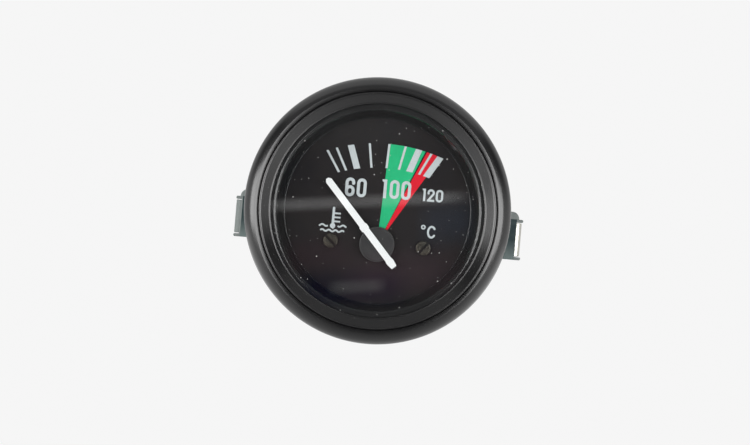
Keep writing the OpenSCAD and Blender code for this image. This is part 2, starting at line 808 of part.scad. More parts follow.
// A blade that passes out through the rear wall, with a riveted foot on the board
module terminal(i) {
    tip = 1.2;
    half = blade_w / 2;
    reach = case_depth + blade_l;
    foot_l = rivet_inset + 2.2;
    foot_top = board_front + blade_t;
    color("#d8cfae") face_panel() at_terminal(i) {
        translate([-blade_t / 2, 0, 0]) rotate([90, 0, 90]) linear_extrude(blade_t)
            difference() {
                polygon([[-half, foot_top], [-half, tip - reach], [tip - half, -reach],
                    [half - tip, -reach], [half, tip - reach], [half, foot_top]]);
                translate([0, 3.4 - reach]) circle(0.9, $fn = 24);
            }
        difference() {
            translate([-blade_t / 2, -half, board_front])
                cube([foot_l + blade_t / 2, blade_w, blade_t]);
            disc([rivet_inset, 0], 1.05, board_front - 1, board_front + 2);
        }
    }
}

module supply_terminal() { terminal(0); }

module sender_terminal() { terminal(1); }

module ground_terminal() { terminal(2); }

module terminal_insulators() {
    color("#3a2418") face_panel() for (i = [0:2]) at_terminal(i) difference() {
        union() {
            block([0, 0], [blade_t + 4.4, blade_w + 3.8], -case_depth - 1, -case_depth);
            block([0, 0], [blade_t + 2.6, blade_w + 2.2], -case_depth, rear_wall);
        }
        block([0, 0], [blade_t + 2 * fit, blade_w + 2 * fit],
            -case_depth - 2, rear_wall + 1);
    }
}

module terminal_rivets() {
    color("#b9b4a0") face_panel() for (i = [0:2]) at_terminal(i) {
        disc([rivet_inset, 0], 1, rear_wall + 0.1, board_front + blade_t);
        disc([rivet_inset, 0], 1.8, board_front + blade_t, board_front + blade_t + rivet_head_t);
    }
}

ballast_at = [-blade_x + 1, blade_y + 0.5];
ballast_lift = 3.1;
ballast_back = board_front + blade_t + ballast_lift;
ballast_front = ballast_back + ballast_l;

module ballast_resistor() {
    cap_l = 1.6;
    color("#e6e2d6") face_panel() {
        block(ballast_at, [ballast_side, ballast_side], ballast_back, ballast_front);
        for (z = [ballast_back, ballast_front - cap_l])
            disc(ballast_at, ballast_side / 2 + 0.3, z + 0.2, z + cap_l - 0.2);
    }
}

// A vector carried from heading a to heading b without twist
function carried(v, a, b) = let (axis = cross(a, b), s = norm(axis), c = a * b)
    s < 1e-6 ? v : let (k = axis / s) v * c + cross(k, v) * s + k * (k * v) * (1 - c);

// A wire of round section through points, with a mitre at each bend
module wire(points) {
    sides = 8;
    n = len(points);
    headings = [for (i = [0:n - 2]) let (d = points[i + 1] - points[i]) d / norm(d)];
    side = cross(headings[0], [0.6, 0.8, 0]);
    sideways = [for (i = 0, v = side / norm(side); i < n - 1;
        v = i + 1 < n - 1 ? carried(v, headings[i], headings[i + 1]) : v, i = i + 1) v];
    rings = [for (i = [0:n - 1])
        let (h = headings[max(i - 1, 0)], u = sideways[max(i - 1, 0)], w = cross(h, u),
            face = h + headings[min(i, n - 2)])
            each [for (j = [0:sides - 1])
                let (a = 360 * j / sides, v = lead_r * (u * cos(a) + w * sin(a)))
                    points[i] + v - h * (v * face) / (h * face)]];
    polyhedron(rings, concat(
        [[for (j = [0:sides - 1]) j]],
        [for (i = [0:n - 2]) each [for (j = [0:sides - 1]) let (k = (j + 1) % sides)
            each [[i * sides + j, (i + 1) * sides + j, (i + 1) * sides + k],
                [i * sides + j, (i + 1) * sides + k, i * sides + k]]]],
        [[for (j = [sides - 1:-1:0]) (n - 1) * sides + j]]));
}

function at3(p, z) = [p[0], p[1], z];

module coil_leads() {
    foot_top = board_front + blade_t;
    joint = [blade_x - 0.6, blade_y + 2];
    ground_joint = [2, -ground_drop + 0.6];
    beside_x = ballast_at[0] + ballast_side / 2 + 1.2;
    over = ballast_front + 0.8;
    color("#7a2f1a") face_panel() {
        wire([at3(joint, foot_top), at3(joint, lead_depth),
            at3(lead_hole_at[0], lead_depth), at3(lead_hole_at[0], coil_rear - fit)]);
        wire([at3(ground_joint, foot_top), at3(ground_joint, lead_depth),
            at3(lead_hole_at[2], lead_depth), at3(lead_hole_at[2], coil_rear - fit)]);
        wire([at3([-joint[0], joint[1]], foot_top), at3([-joint[0], joint[1]], ballast_back)]);
        wire([at3(ballast_at, ballast_front), at3(ballast_at, over),
            [beside_x, blade_y - 2, over], [beside_x, blade_y - 2, lead_depth],
            at3(lead_hole_at[1], lead_depth), at3(lead_hole_at[1], coil_rear - fit)]);
    }
}

module bracket_studs() {
    color("silver") face_panel() for (p = post_at) {
        disc(p, stud_r, stud_end + 0.6, stud_front);
        translate([p[0], p[1], stud_end])
            cylinder(r1 = stud_r - 0.5, r2 = stud_r, h = 0.6);
    }
}

module collar_nuts() {
    color("silver") face_panel() for (p = post_at) difference() {
        translate([p[0], p[1], -case_depth - collar_t])
            cylinder(r = collar_af / sqrt(3), h = collar_t, $fn = 6);
        disc(p, stud_r + fit, -case_depth - collar_t - 1, -case_depth + 1);
    }
}

// The pointer and what turns with it

spindle_foot = former_rear_z + former_wall - 1.2;

module pointer_blade() {
    w = pointer_w / 2;
    collar = pointer_w * 0.63;
    nose = 0.6;
    color("white") face_panel() at_pivot(rest_dir) difference() {
        translate([0, 0, blade_back]) linear_extrude(pointer_t) union() {
            polygon([
                [-w * 0.6, -pointer_tail], [w * 0.6, -pointer_tail], [w * 0.95, -5.3],
                [w * 1.14, -5.2], [w * 1.14, -4.5], [w, -4.1], [w, 3.9],
                [collar, 4.2], [collar, 5.4], [w, 5.8], [w, pointer_reach - nose],
                [w * 0.4, pointer_reach], [-w * 0.4, pointer_reach],
                [-w, pointer_reach - nose], [-w, 5.8], [-collar, 5.4], [-collar, 4.2],
                [-w, 3.9], [-w, -4.1], [-w * 1.14, -4.5], [-w * 1.14, -5.2],
                [-w * 0.95, -5.3],
            ]);
        }
        translate([0, 0, blade_back - 1])
            cylinder(r = spindle_r + snug, h = pointer_t + 2);
    }
}

module pointer_hub() {
    bevel = 0.25;
    color("#3c3c40") face_panel() at_pivot() difference() {
        union() {
            translate([0, 0, hub_back]) cylinder(r = spindle_r + 0.8, h = hub_boss_h);
            translate([0, 0, cover_back]) cylinder(d = hub_d, h = hub_t - bevel);
            translate([0, 0, blade_back - bevel])
                cylinder(d1 = hub_d, d2 = hub_d - 2 * bevel, h = bevel);
        }
        translate([0, 0, hub_back - 1])
            cylinder(r = spindle_r + snug, h = hub_boss_h + hub_t + 2);
    }
}

module spindle() {
    color("silver") face_panel() disc(pivot, spindle_r, spindle_foot, blade_front - 0.1);
}

module rotor_magnet() {
    color("dimgray") face_panel()
        disc(pivot, magnet_d / 2, former_mid_z - magnet_t / 2, former_mid_z + magnet_t / 2,
            spindle_r + snug);
}

module stop_arm() {
    color("silver") face_panel() at_pivot(arm_rest) difference() {
        union() {
            disc([0, 0], spindle_r + 1.1, stop_arm_z - stop_arm_t / 2,
                stop_arm_z + stop_arm_t / 2);
            block([0, (stop_r + 1) / 2], [stop_arm_w, stop_r + 1],
                stop_arm_z - stop_arm_t / 2, stop_arm_z + stop_arm_t / 2);
        }
        disc([0, 0], spindle_r + snug, stop_arm_z - 2, stop_arm_z + 2);
    }
}

// The lamp holder, which pulls out of the rear

lamp_socket_z = lamp_rear + 3;

module lamp_shell() {
    bore = lamp_r - lamp_wall;
    color("silver") face_panel() difference() {
        union() {
            disc(lamp_at, lamp_r, lamp_seat, lamp_front);
            disc(lamp_at, lamp_flange_d / 2, lamp_seat - lamp_flange_t, lamp_seat);
            disc(lamp_at, lamp_body_d / 2, lamp_rear, lamp_seat - lamp_flange_t);
        }
        disc(lamp_at, bore, lamp_rear - 1, lamp_front + 1);
    }
}

module lamp_insulator() {
    color("#3a2418") face_panel() difference() {
        disc(lamp_at, lamp_r - lamp_wall - snug, lamp_rear, lamp_socket_z);
        block(lamp_at, [blade_w + 2 * fit, blade_t + 2 * fit],
            lamp_rear - 1, lamp_socket_z + 1);
    }
}

module lamp_contact() {
    tip = 1.2;
    reach = -lamp_rear + 7;
    top = lamp_socket_z;
    plate = 0.5;
    half = blade_w / 2;
    color("#d8cfae") face_panel() {
        translate([0, lamp_y + blade_t / 2, 0]) rotate([90, 0, 0]) linear_extrude(blade_t)
            difference() {
                polygon([[-half, top + plate], [-half, tip - reach], [tip - half, -reach],
                    [half - tip, -reach], [half, tip - reach], [half, top + plate]]);
                translate([0, 3.4 - reach]) circle(0.9, $fn = 24);
            }
        disc(lamp_at, bulb_r - 0.6, top, top + plate);
        disc(lamp_at, 0.9, top, bulb_back - fit);
    }
}

module bulb_base() {
    color("#cdb36a") face_panel() disc(lamp_at, bulb_r, bulb_back, lamp_front + 0.6);
}

module bulb_glass() {
    r = bulb_r - 0.3;
    color("white", 0.4) face_panel() translate([lamp_at[0], lamp_at[1], lamp_front + 0.6])
        rotate_extrude() polygon(concat(
            [[0, 0]], [[r, 0]], arc([0, bulb_l - r], r, r, 0, 90, 10)));
}

// The mounting bracket and its nuts

// Middle line of the strap in the x-z plane, from the left teeth to the right teeth
function strap_line() = let (b = bend_mid_r, x = leg_x, tip = foot_x + tooth_l)
    concat(
        [[-tip, foot_z]],
        arc([-x - b, foot_z - b], b, b, 90, 0, 6),
        arc([-x + b, base_z + b], b, b, 180, 270, 6),
        arc([x - b, base_z + b], b, b, 270, 360, 6),
        arc([x + b, foot_z - b], b, b, 180, 90, 6),
        [[tip, foot_z]]);

// Middle line of a foot's lip in the x-z plane, on the right, from the foot backwards
function lip_line(bend) = let (b = fold_mid_r, start = foot_x - b * tan(bend / 2))
    concat(
        [[leg_x + bend_mid_r + 0.3, foot_z]],
        arc([start, foot_z - b], b, b, 90, 90 - bend, 5),
        [[foot_x, foot_z] + lip_l * [cos(bend), -sin(bend)]]);

// Sheet bent along a line, between two heights
module bent_sheet(line, low, high) {
    translate([0, high, 0]) rotate([90, 0, 0]) linear_extrude(high - low)
        polygon(band(line, strap_t));
}

// What rounds a foot's tab and leaves a tooth at each end of its lip, on the right
module foot_cut(bend) {
    r = foot_tab;
    high = strap_high - r;
    edge = foot_x - fold_mid_r * tan(bend / 2);
    translate([0, 0, foot_z - 3]) linear_extrude(6) {
        polygon(concat(
            [[foot_x + 5, high]], arc([foot_x - r, high], r, r, 0, 75, 5),
            [[foot_x - r, strap_high + 0.15], [foot_x - r, strap_high + 1],
             [foot_x + 5, strap_high + 1]]));
        polygon([[edge, strap_low + tooth_w], [foot_x + 5, strap_low + tooth_w],
            [foot_x + 5, high - tooth_w], [edge, high - tooth_w]]);
    }
}

// The lip between a foot's teeth, on the right
module foot_lip(bend) {
    bent_sheet(lip_line(bend), strap_low + tooth_w + tooth_gap,
        strap_high - foot_tab - tooth_w - tooth_gap);
}

module mounting_bracket() {
    color("#9aa5a0") face_panel() translate([strap_shift, 0, 0]) {
        difference() {
            bent_sheet(strap_line(), strap_low, strap_high);
            foot_cut(lip_bend_right);
            mirror([1, 0, 0]) foot_cut(lip_bend_left);
            for (p = post_at) disc(p, strap_hole_d / 2, base_z - 2 * strap_t, base_z + 2 * strap_t);
        }
        foot_lip(lip_bend_right);
        mirror([1, 0, 0]) foot_lip(lip_bend_left);
    }
}

module spring_washers() {
    color("silver") face_panel() for (p = post_at) difference() {
        disc(p, stud_r + washer_w, washer_back, -strap_depth - strap_t, stud_r + 0.2);
        translate([p[0], p[1], washer_back - 1]) rotate([0, 0, 60])
            translate([0, -washer_split / 2, 0]) cube([stud_r + washer_w + 1, washer_split, washer_t + 2]);
    }
}

// A knurled nut with a plain shoulder towards the washer
module thumb_nut(p) {
    shoulder = 1.2;
    depth = 0.35;
    r = nut_d / 2;
    color("silver") face_panel() {
        translate([p[0], p[1], nut_back]) linear_extrude(nut_t - shoulder) difference() {
            polygon([for (i = [0:2 * knurl_teeth - 1]) let (a = 180 * i / knurl_teeth)
                (r - (i % 2) * depth) * [cos(a), sin(a)]]);
            circle(stud_r + nut_run);
        }
        disc(p, r - 1, nut_back + nut_t - shoulder, nut_back + nut_t, stud_r + nut_run);
    }
}

module thumb_nut_left() { thumb_nut(post_at[0]); }

module thumb_nut_right() { thumb_nut(post_at[1]); }

case_can();
bezel_ring();
glass_lens();
lens_seal();
spacer_ring();
dial_plate();
dial_print_white();
dial_print_green();
dial_print_red();
dial_screws();
dial_pillars();
movement_plate();
support_posts();
post_screws();
shield_can();
former_front();
former_rear();
coil_inner();
coil_outer();
upper_bearing();
lower_bearing();
return_magnet();
end_stops();
terminal_board();
supply_terminal();
sender_terminal();
ground_terminal();
terminal_insulators();
terminal_rivets();
ballast_resistor();
coil_leads();
bracket_studs();
collar_nuts();
pointer_blade();
pointer_hub();
spindle();
rotor_magnet();
stop_arm();
lamp_shell();
lamp_insulator();
lamp_contact();
bulb_base();
bulb_glass();
mounting_bracket();
spring_washers();
thumb_nut_left();
thumb_nut_right();
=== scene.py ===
"""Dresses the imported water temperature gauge: finer surfaces, finishes, light and camera.

Inside the classes a length is in millimetres in the dial's own view: x to the right, y up to
twelve o'clock and z out of the dial, with the panel seat at z = 0. `to_row` turns such points
into the metres and axes of the frame, where the dial faces -Y and twelve o'clock is +Z.
"""

import logging
import math
from contextlib import contextmanager
from dataclasses import dataclass
from enum import Enum
from typing import Callable, Iterator, Sequence

import bmesh
import bpy
import numpy as np
from mathutils import Matrix


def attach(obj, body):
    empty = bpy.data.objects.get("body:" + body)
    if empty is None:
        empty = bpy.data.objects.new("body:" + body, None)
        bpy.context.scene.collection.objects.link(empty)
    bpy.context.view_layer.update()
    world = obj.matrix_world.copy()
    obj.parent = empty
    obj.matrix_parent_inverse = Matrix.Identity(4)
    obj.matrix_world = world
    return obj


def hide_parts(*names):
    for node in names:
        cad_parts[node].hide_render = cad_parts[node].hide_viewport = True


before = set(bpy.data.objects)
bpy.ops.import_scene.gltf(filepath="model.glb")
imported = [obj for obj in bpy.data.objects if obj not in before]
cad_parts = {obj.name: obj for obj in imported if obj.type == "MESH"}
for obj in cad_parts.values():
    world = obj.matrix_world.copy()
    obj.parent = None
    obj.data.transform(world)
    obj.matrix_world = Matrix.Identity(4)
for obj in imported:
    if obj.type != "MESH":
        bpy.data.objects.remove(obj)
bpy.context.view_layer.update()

LOG = logging.getLogger("gauge")
MM = 0.001
TURN = 2 * math.pi
# Points closer than this many metres are joined
SAME_PLACE = 1e-7
# A profile's end this near its axis, in millimetres, lies on it
ON_AXIS = 1e-9
# A rounding starts no further than this share of a side from its corner
SIDE_SHARE = 0.49
# Rows of a chamfered edge: how far in and how far from the face, as shares of the bevel
BEVEL_ROWS = ((1.0, 0.0), (0.3, 0.3), (0.0, 1.0))
# Faces that differ by less than this many degrees become one flat face
FLAT_WITHIN = 0.4
# Edges that turn by more than this many degrees are eased
EASED_FROM = 40.0

Colour = tuple[float, float, float]
Point = tuple[float, float]
Socket = bpy.types.NodeSocket

# Places that several sub-assemblies share: studs, lamp holder, pointer's axis and dial's face
STUDS_AT: tuple[Point, Point] = ((-15.5, -3.2), (15.5, -3.2))
LAMP_AT: Point = (0.0, 13.5)
PIVOT_AT: Point = (0.5, -7.6)
DIAL_FACE = -5.6


class Body(Enum):
    """The bodies that pieces ride on."""

    GAUGE = "gauge"
    POINTER = "pointer"
    LAMP = "lamp"
    BRACKET = "bracket"
    NUT_LEFT = "nut_left"
    NUT_RIGHT = "nut_right"


# Curves and surfaces


def to_row(points: np.ndarray) -> np.ndarray:
    """Turns points of the dial's view into the frame: (x, y, z) becomes (x, -z, y) / 1000.

    Args:
        points: N by 3 array in millimetres.

    Returns:
        N by 3 array in metres.
    """
    return points[:, [0, 2, 1]] * np.array([1.0, -1.0, 1.0]) * MM


def arc(centre: Point, radius: float, start: float, end: float, steps: int) -> np.ndarray:
    """Points on a circle: centre plus radius times (cosine, sine) of evenly spaced angles.

    Args:
        centre: Middle of the circle.
        radius: Its radius.
        start: First angle in degrees.
        end: Last angle in degrees.
        steps: Number of chords.

    Returns:
        Array of steps + 1 points.
    """
    a = np.radians(np.linspace(start, end, steps + 1))
    return np.array(centre) + radius * np.column_stack([np.cos(a), np.sin(a)])


def circle(centre: Point, radius: float, steps: int) -> np.ndarray:
    """Points all round a circle, counterclockwise, as an arc of a full turn without its last point."""
    return arc(centre, radius, 0, 360, steps)[:-1]


def rounded(corners: Sequence[Point], radius: float, steps: int, closed: bool = False) -> np.ndarray:
    """Softens a polyline: each corner becomes a parabola that leaves both sides tangentially.

    The parabola is (1-t)^2 A + 2t(1-t) P + t^2 B, where P is the corner and A and B lie on its
    two sides, at the radius or at just under half of the side, whichever is less.

    Args:
        corners: The polyline's corners.
        radius: How far from the corner the rounding starts.
        steps: Number of chords in each rounding.
        closed: Whether the last corner joins the first.

    Returns:
        Array of the rounded line's points.
    """
    p = np.array(corners, float)
    before, after = np.roll(p, 1, axis=0) - p, np.roll(p, -1, axis=0) - p
    d0, d1 = np.linalg.norm(before, axis=1), np.linalg.norm(after, axis=1)
    a = p + before * (np.minimum(radius, SIDE_SHARE * d0) / d0)[:, None]
    b = p + after * (np.minimum(radius, SIDE_SHARE * d1) / d1)[:, None]
    t = np.linspace(0, 1, steps + 1)[None, :, None]
    bent = (1 - t) ** 2 * a[:, None] + 2 * t * (1 - t) * p[:, None] + t ** 2 * b[:, None]
    if closed:
        return bent.reshape(-1, 2)
    return np.vstack([p[:1], bent[1:-1].reshape(-1, 2), p[-1:]])


def inset(outline: np.ndarray, distance: float) -> np.ndarray:
    """Moves a counterclockwise outline inwards: each point slides along its mitre.

    Args:
        outline: N by 2 array.
        distance: How far each side moves inwards.

    Returns:
        N by 2 array.
    """
    side = np.roll(outline, -1, axis=0) - outline
    side /= np.linalg.norm(side, axis=1)[:, None]
    normal = np.column_stack([side[:, 1], -side[:, 0]])
    last = np.roll(normal, 1, axis=0)
    mitre = (normal + last) / (1 + np.sum(normal * last, axis=1))[:, None]
    return outline - distance * mitre


def turned(points: np.ndarray, degrees: float, at: Point = (0.0, 0.0)) -> np.ndarray:
    """Turns points counterclockwise about the origin, then moves the origin to a place.

    Args:
        points: N by 2 array.
        degrees: The turn.
        at: Where the origin goes.

    Returns:
        N by 2 array.
    """
    a = math.radians(degrees)
    turn = np.array([[math.cos(a), math.sin(a)], [-math.sin(a), math.cos(a)]])
    return points @ turn + np.array(at)


def grid_quads(rows: int, columns: int, wrap_rows: bool = False) -> np.ndarray:
    """Quads of a grid whose columns close on themselves.

    Args:
        rows: Number of rows of points.
        columns: Number of points in a row.
        wrap_rows: Whether the last row joins the first.

    Returns:
        Array of quads, as four point numbers each.
    """
    i = np.arange(rows if wrap_rows else rows - 1)[:, None]
    j = np.arange(columns)[None, :]
    i2, j2 = (i + 1) % rows, (j + 1) % columns
    corners = [i * columns + j, i * columns + j2, i2 * columns + j2, i2 * columns + j]
    return np.stack(np.broadcast_arrays(*corners), axis=-1).reshape(-1, 4)


def end_caps(rows: int, columns: int) -> list[list[int]]:
    """Returns the two faces that close the first and last row of a grid."""
    last = (rows - 1) * columns
    return [list(range(columns))[::-1], list(range(last, last + columns))]


@dataclass
class Shape:
    """Points in millimetres in the dial's view, and the faces that join them."""

    points: np.ndarray
    faces: list[list[int]]

    def plus(self, other: "Shape") -> "Shape":
        """Returns both shapes as one."""
        shift = len(self.points)
        moved = [[i + shift for i in face] for face in other.faces]
        return Shape(np.vstack([self.points, other.points]), self.faces + moved)


def revolve(profile: np.ndarray, columns: int, at: Point = (0.0, 0.0),
            swell: Callable[[np.ndarray, np.ndarray, np.ndarray], np.ndarray] | None = None) -> Shape:
    """Turns a profile about an axis out of the dial.

    A point of the surface is at + r (cos a, sin a) at depth z, for each point (r, z) of the
    profile and each of evenly spaced angles a. `swell` may give another r for each (r, z, a).
    A profile whose ends lie on the axis closes there with a fan; any other closes on itself.

    Args:
        profile: N by 2 array of (radius, depth).
        columns: Number of angles.
        at: Where the axis stands in the dial's view.
        swell: Gives the radius from arrays of radius, depth and angle.

    Returns:
        The closed shape.
    """
    poles = [i for i in (0, len(profile) - 1) if abs(profile[i, 0]) < ON_AXIS]
    walls = profile[1:-1] if len(poles) == 2 else profile
    a = np.arange(columns) / columns * TURN
    r, z, a = np.broadcast_arrays(walls[:, :1], walls[:, 1:], a[None, :])
    r = swell(r, z, a) if swell else r
    points = np.stack([at[0] + r * np.cos(a), at[1] + r * np.sin(a), z], axis=-1).reshape(-1, 3)
    rows = len(walls)
    faces = grid_quads(rows, columns, wrap_rows=len(poles) < 2).tolist()
    if len(poles) == 2:
        ends = np.array([[at[0], at[1], profile[0, 1]], [at[0], at[1], profile[-1, 1]]])
        first, j = len(points), np.arange(columns)
        top = (rows - 1) * columns
        fan = np.column_stack([np.full(columns, first), (j + 1) % columns, j])
        far = np.column_stack([np.full(columns, first + 1), top + j, top + (j + 1) % columns])
        points = np.vstack([points, ends])
        faces += fan.tolist() + far.tolist()
    return Shape(points, faces)


def loft(rings: Sequence[tuple[np.ndarray, float]]) -> Shape:
    """Stacks outlines with as many points each at their depths, and closes both ends flat.

    Args:
        rings: Pairs of outline and depth, from one end to the other.

    Returns:
        The closed shape.
    """
    columns = len(rings[0][0])
    points = np.vstack([np.column_stack([o, np.full(columns, z)]) for o, z in rings])
    return Shape(points, grid_quads(len(rings), columns).tolist() + end_caps(len(rings), columns))


def plug(outline: np.ndarray, back: float, front: float) -> Shape:
    """A straight plug between two depths, which cuts a hole of its outline."""
    return loft([(outline, back), (outline, front)])


def slab(outline: np.ndarray, back: float, front: float, bevel: float) -> Shape:
    """A plate between two depths whose edges are eased by two small chamfers.

    Args:
        outline: Its counterclockwise outline.
        back: Depth of its rear face.
        front: Depth of its front face.
        bevel: Size of the eased edge.

    Returns:
        The closed shape.
    """
    rear = [(inset(outline, bevel * s), back + bevel * h) for s, h in BEVEL_ROWS]
    fore = [(inset(outline, bevel * s), front - bevel * h) for s, h in reversed(BEVEL_ROWS)]
    return loft(rear + fore)


def box_outline(at: Point, width: float, height: float, degrees: float) -> np.ndarray:
    """Outline of a rectangle.

    Args:
        at: Its centre.
        width: Its size along x before the turn.
        height: Its size along y before the turn.
        degrees: How far it is turned counterclockwise.

    Returns:
        Its four corners, counterclockwise.
    """
    x, y = width / 2, height / 2
    return turned(np.array([[-x, -y], [x, -y], [x, y], [-x, y]]), degrees, at)


# Pieces


@contextmanager
def opened(mesh: bpy.types.Mesh) -> Iterator[bmesh.types.BMesh]:
    """Opens a mesh for operations on its parts, and writes them back at the end."""
    work = bmesh.new()
    work.from_mesh(mesh)
    yield work
    work.to_mesh(mesh)
    work.free()


def linked(name: str, data: bpy.types.ID) -> bpy.types.Object:
    """Returns a new object of the scene that holds a mesh, a lamp or a camera."""
    made = bpy.data.objects.new(name, data)
    bpy.context.scene.collection.objects.link(made)
    return made


def evaluated(piece: bpy.types.Object) -> None:
    """Replaces a piece's mesh by what its modifiers make of it, and removes them.

    Args:
        piece: The piece.
    """
    bpy.context.view_layer.update()
    graph = bpy.context.evaluated_depsgraph_get()
    mesh = bpy.data.meshes.new_from_object(piece.evaluated_get(graph))
    old, piece.data = piece.data, mesh
    piece.modifiers.clear()
    bpy.data.meshes.remove(old)


def bare_piece(name: str, shape: Shape) -> bpy.types.Object:
    """Puts a shape into the scene as an object at the origin, with its faces outwards.

    Args:
        name: The object's name.
        shape: What it holds.

    Returns:
        The new object.
    """
    mesh = bpy.data.meshes.new(name)
    mesh.from_pydata(to_row(shape.points).tolist(), [], shape.faces)
    with opened(mesh) as work:
        bmesh.ops.recalc_face_normals(work, faces=work.faces)
    return linked(name, mesh)


def combine(piece: bpy.types.Object, shapes: Sequence[Shape], operation: str = "DIFFERENCE") -> None:
    """Takes closed shapes away from a piece, or joins them to it.

    Args:
        piece: The piece, whose mesh is replaced.
        shapes: The shapes.
        operation: DIFFERENCE or UNION.
    """
    tools = [bare_piece("tool", shape) for shape in shapes]
    for tool in tools:
        cut = piece.modifiers.new("cut", "BOOLEAN")
        cut.operation, cut.solver, cut.object = operation, "EXACT", tool
    evaluated(piece)
    for tool in tools:
        mesh = tool.data
        bpy.data.objects.remove(tool)
        bpy.data.meshes.remove(mesh)


def smooth(piece: bpy.types.Object, degrees: float, flats: bool = False) -> None:
    """Shades a piece smooth up to an angle between faces.

    Args:
        piece: The piece.
        degrees: Edges that turn more than this stay sharp.
        flats: Whether large flat faces keep their own direction to their very edge.
    """
    mesh = piece.data
    mesh.polygons.foreach_set("use_smooth", np.ones(len(mesh.polygons), bool))
    mesh.set_sharp_from_angle(angle=math.radians(degrees))
    if flats:
        weights = piece.modifiers.new("flats", "WEIGHTED_NORMAL")
        weights.keep_sharp = True
    mesh.update()


def dress(piece: bpy.types.Object, body: Body, finish: "Finish", node: str) -> None:
    """Gives a piece its finish and its place in the frame, and hides the CAD node that it stands for.

    Args:
        piece: The piece.
        body: What it rides on.
        finish: What it is finished in.
        node: The CAD node that it replaces.
    """
    piece.data.materials.clear()
    piece.data.materials.append(finish.material())
    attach(piece, body.value)
    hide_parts(node)
    LOG.info("%s: %d faces, %s", piece.name, len(piece.data.polygons), finish.slot)


def make(name: str, shape: Shape, node: str, body: Body, finish: "Finish", sharp: float,
         flats: bool = False, cuts: Sequence[Shape] = ()) -> bpy.types.Object:
    """Builds a piece from a shape, takes its cuts away, shades it smooth and dresses it.

    Args:
        name: The object's name.
        shape: What it holds.
        node: The CAD node that it replaces.
        body: What it rides on.
        finish: What it is finished in.
        sharp: Edges that turn more than this many degrees stay sharp.
        flats: Whether large flat faces keep their own direction to their very edge.
        cuts: Closed shapes that are taken away.

    Returns:
        The new object.
    """
    piece = bare_piece(name, shape)
    if cuts:
        combine(piece, cuts)
    smooth(piece, sharp, flats)
    dress(piece, body, finish, node)
    return piece


def refinish(piece: bpy.types.Object, finish: "Finish", chosen: np.ndarray) -> None:
    """Gives some faces of a dressed piece another finish of the same slot.

    Args:
        piece: The piece.
        finish: The other finish.
        chosen: Which faces get it, as one truth value for each.
    """
    mesh = piece.data
    mesh.materials.append(finish.material())
    index = np.zeros(len(mesh.polygons), dtype=np.int32)
    mesh.polygons.foreach_get("material_index", index)
    index[chosen] = len(mesh.materials) - 1
    mesh.polygons.foreach_set("material_index", index)
    mesh.update()


def score(piece: bpy.types.Object, places: Sequence[float]) -> None:
    """Divides the faces that cross some places along x, without changing the shape.

    Args:
        piece: The piece.
        places: Where it is divided, in millimetres.
    """
    with opened(piece.data) as work:
        for x in places:
            everything = [*work.verts, *work.edges, *work.faces]
            bmesh.ops.bisect_plane(
                work, geom=everything, dist=SAME_PLACE, plane_co=(x * MM, 0, 0), plane_no=(1, 0, 0))


def face_centres(piece: bpy.types.Object) -> np.ndarray:
    """Returns the middle of each face in the dial's view, in millimetres."""
    flat = np.zeros(3 * len(piece.data.polygons))
    piece.data.polygons.foreach_get("center", flat)
    x, depth, y = (flat.reshape(-1, 3) / MM).T
    return np.column_stack([x, y, -depth])


def softened(node: str, bevel: float) -> bpy.types.Object:
    """A copy of a CAD node with its triangles joined, its flats whole and its edges eased.

    Args:
        node: The CAD node.
        bevel: Width of the eased edges in millimetres.

    Returns:
        The new object.
    """
    name = f"{node}_eased"
    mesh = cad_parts[node].data.copy()
    mesh.name = name
    with opened(mesh) as work:
        bmesh.ops.remove_doubles(work, verts=work.verts, dist=SAME_PLACE)
        bmesh.ops.dissolve_limit(
            work, angle_limit=math.radians(FLAT_WITHIN), verts=work.verts, edges=work.edges)
    piece = linked(name, mesh)
    ease = piece.modifiers.new("eased edges", "BEVEL")
    ease.width, ease.segments = bevel * MM, 2
    ease.limit_method, ease.angle_limit = "ANGLE", math.radians(EASED_FROM)
    ease.use_clamp_overlap = True
    evaluated(piece)
    smooth(piece, degrees=50, flats=True)
    return piece


# Shared effects


# Patches in a metre that break up the scuffs
PATCH_SCALE = 250.0


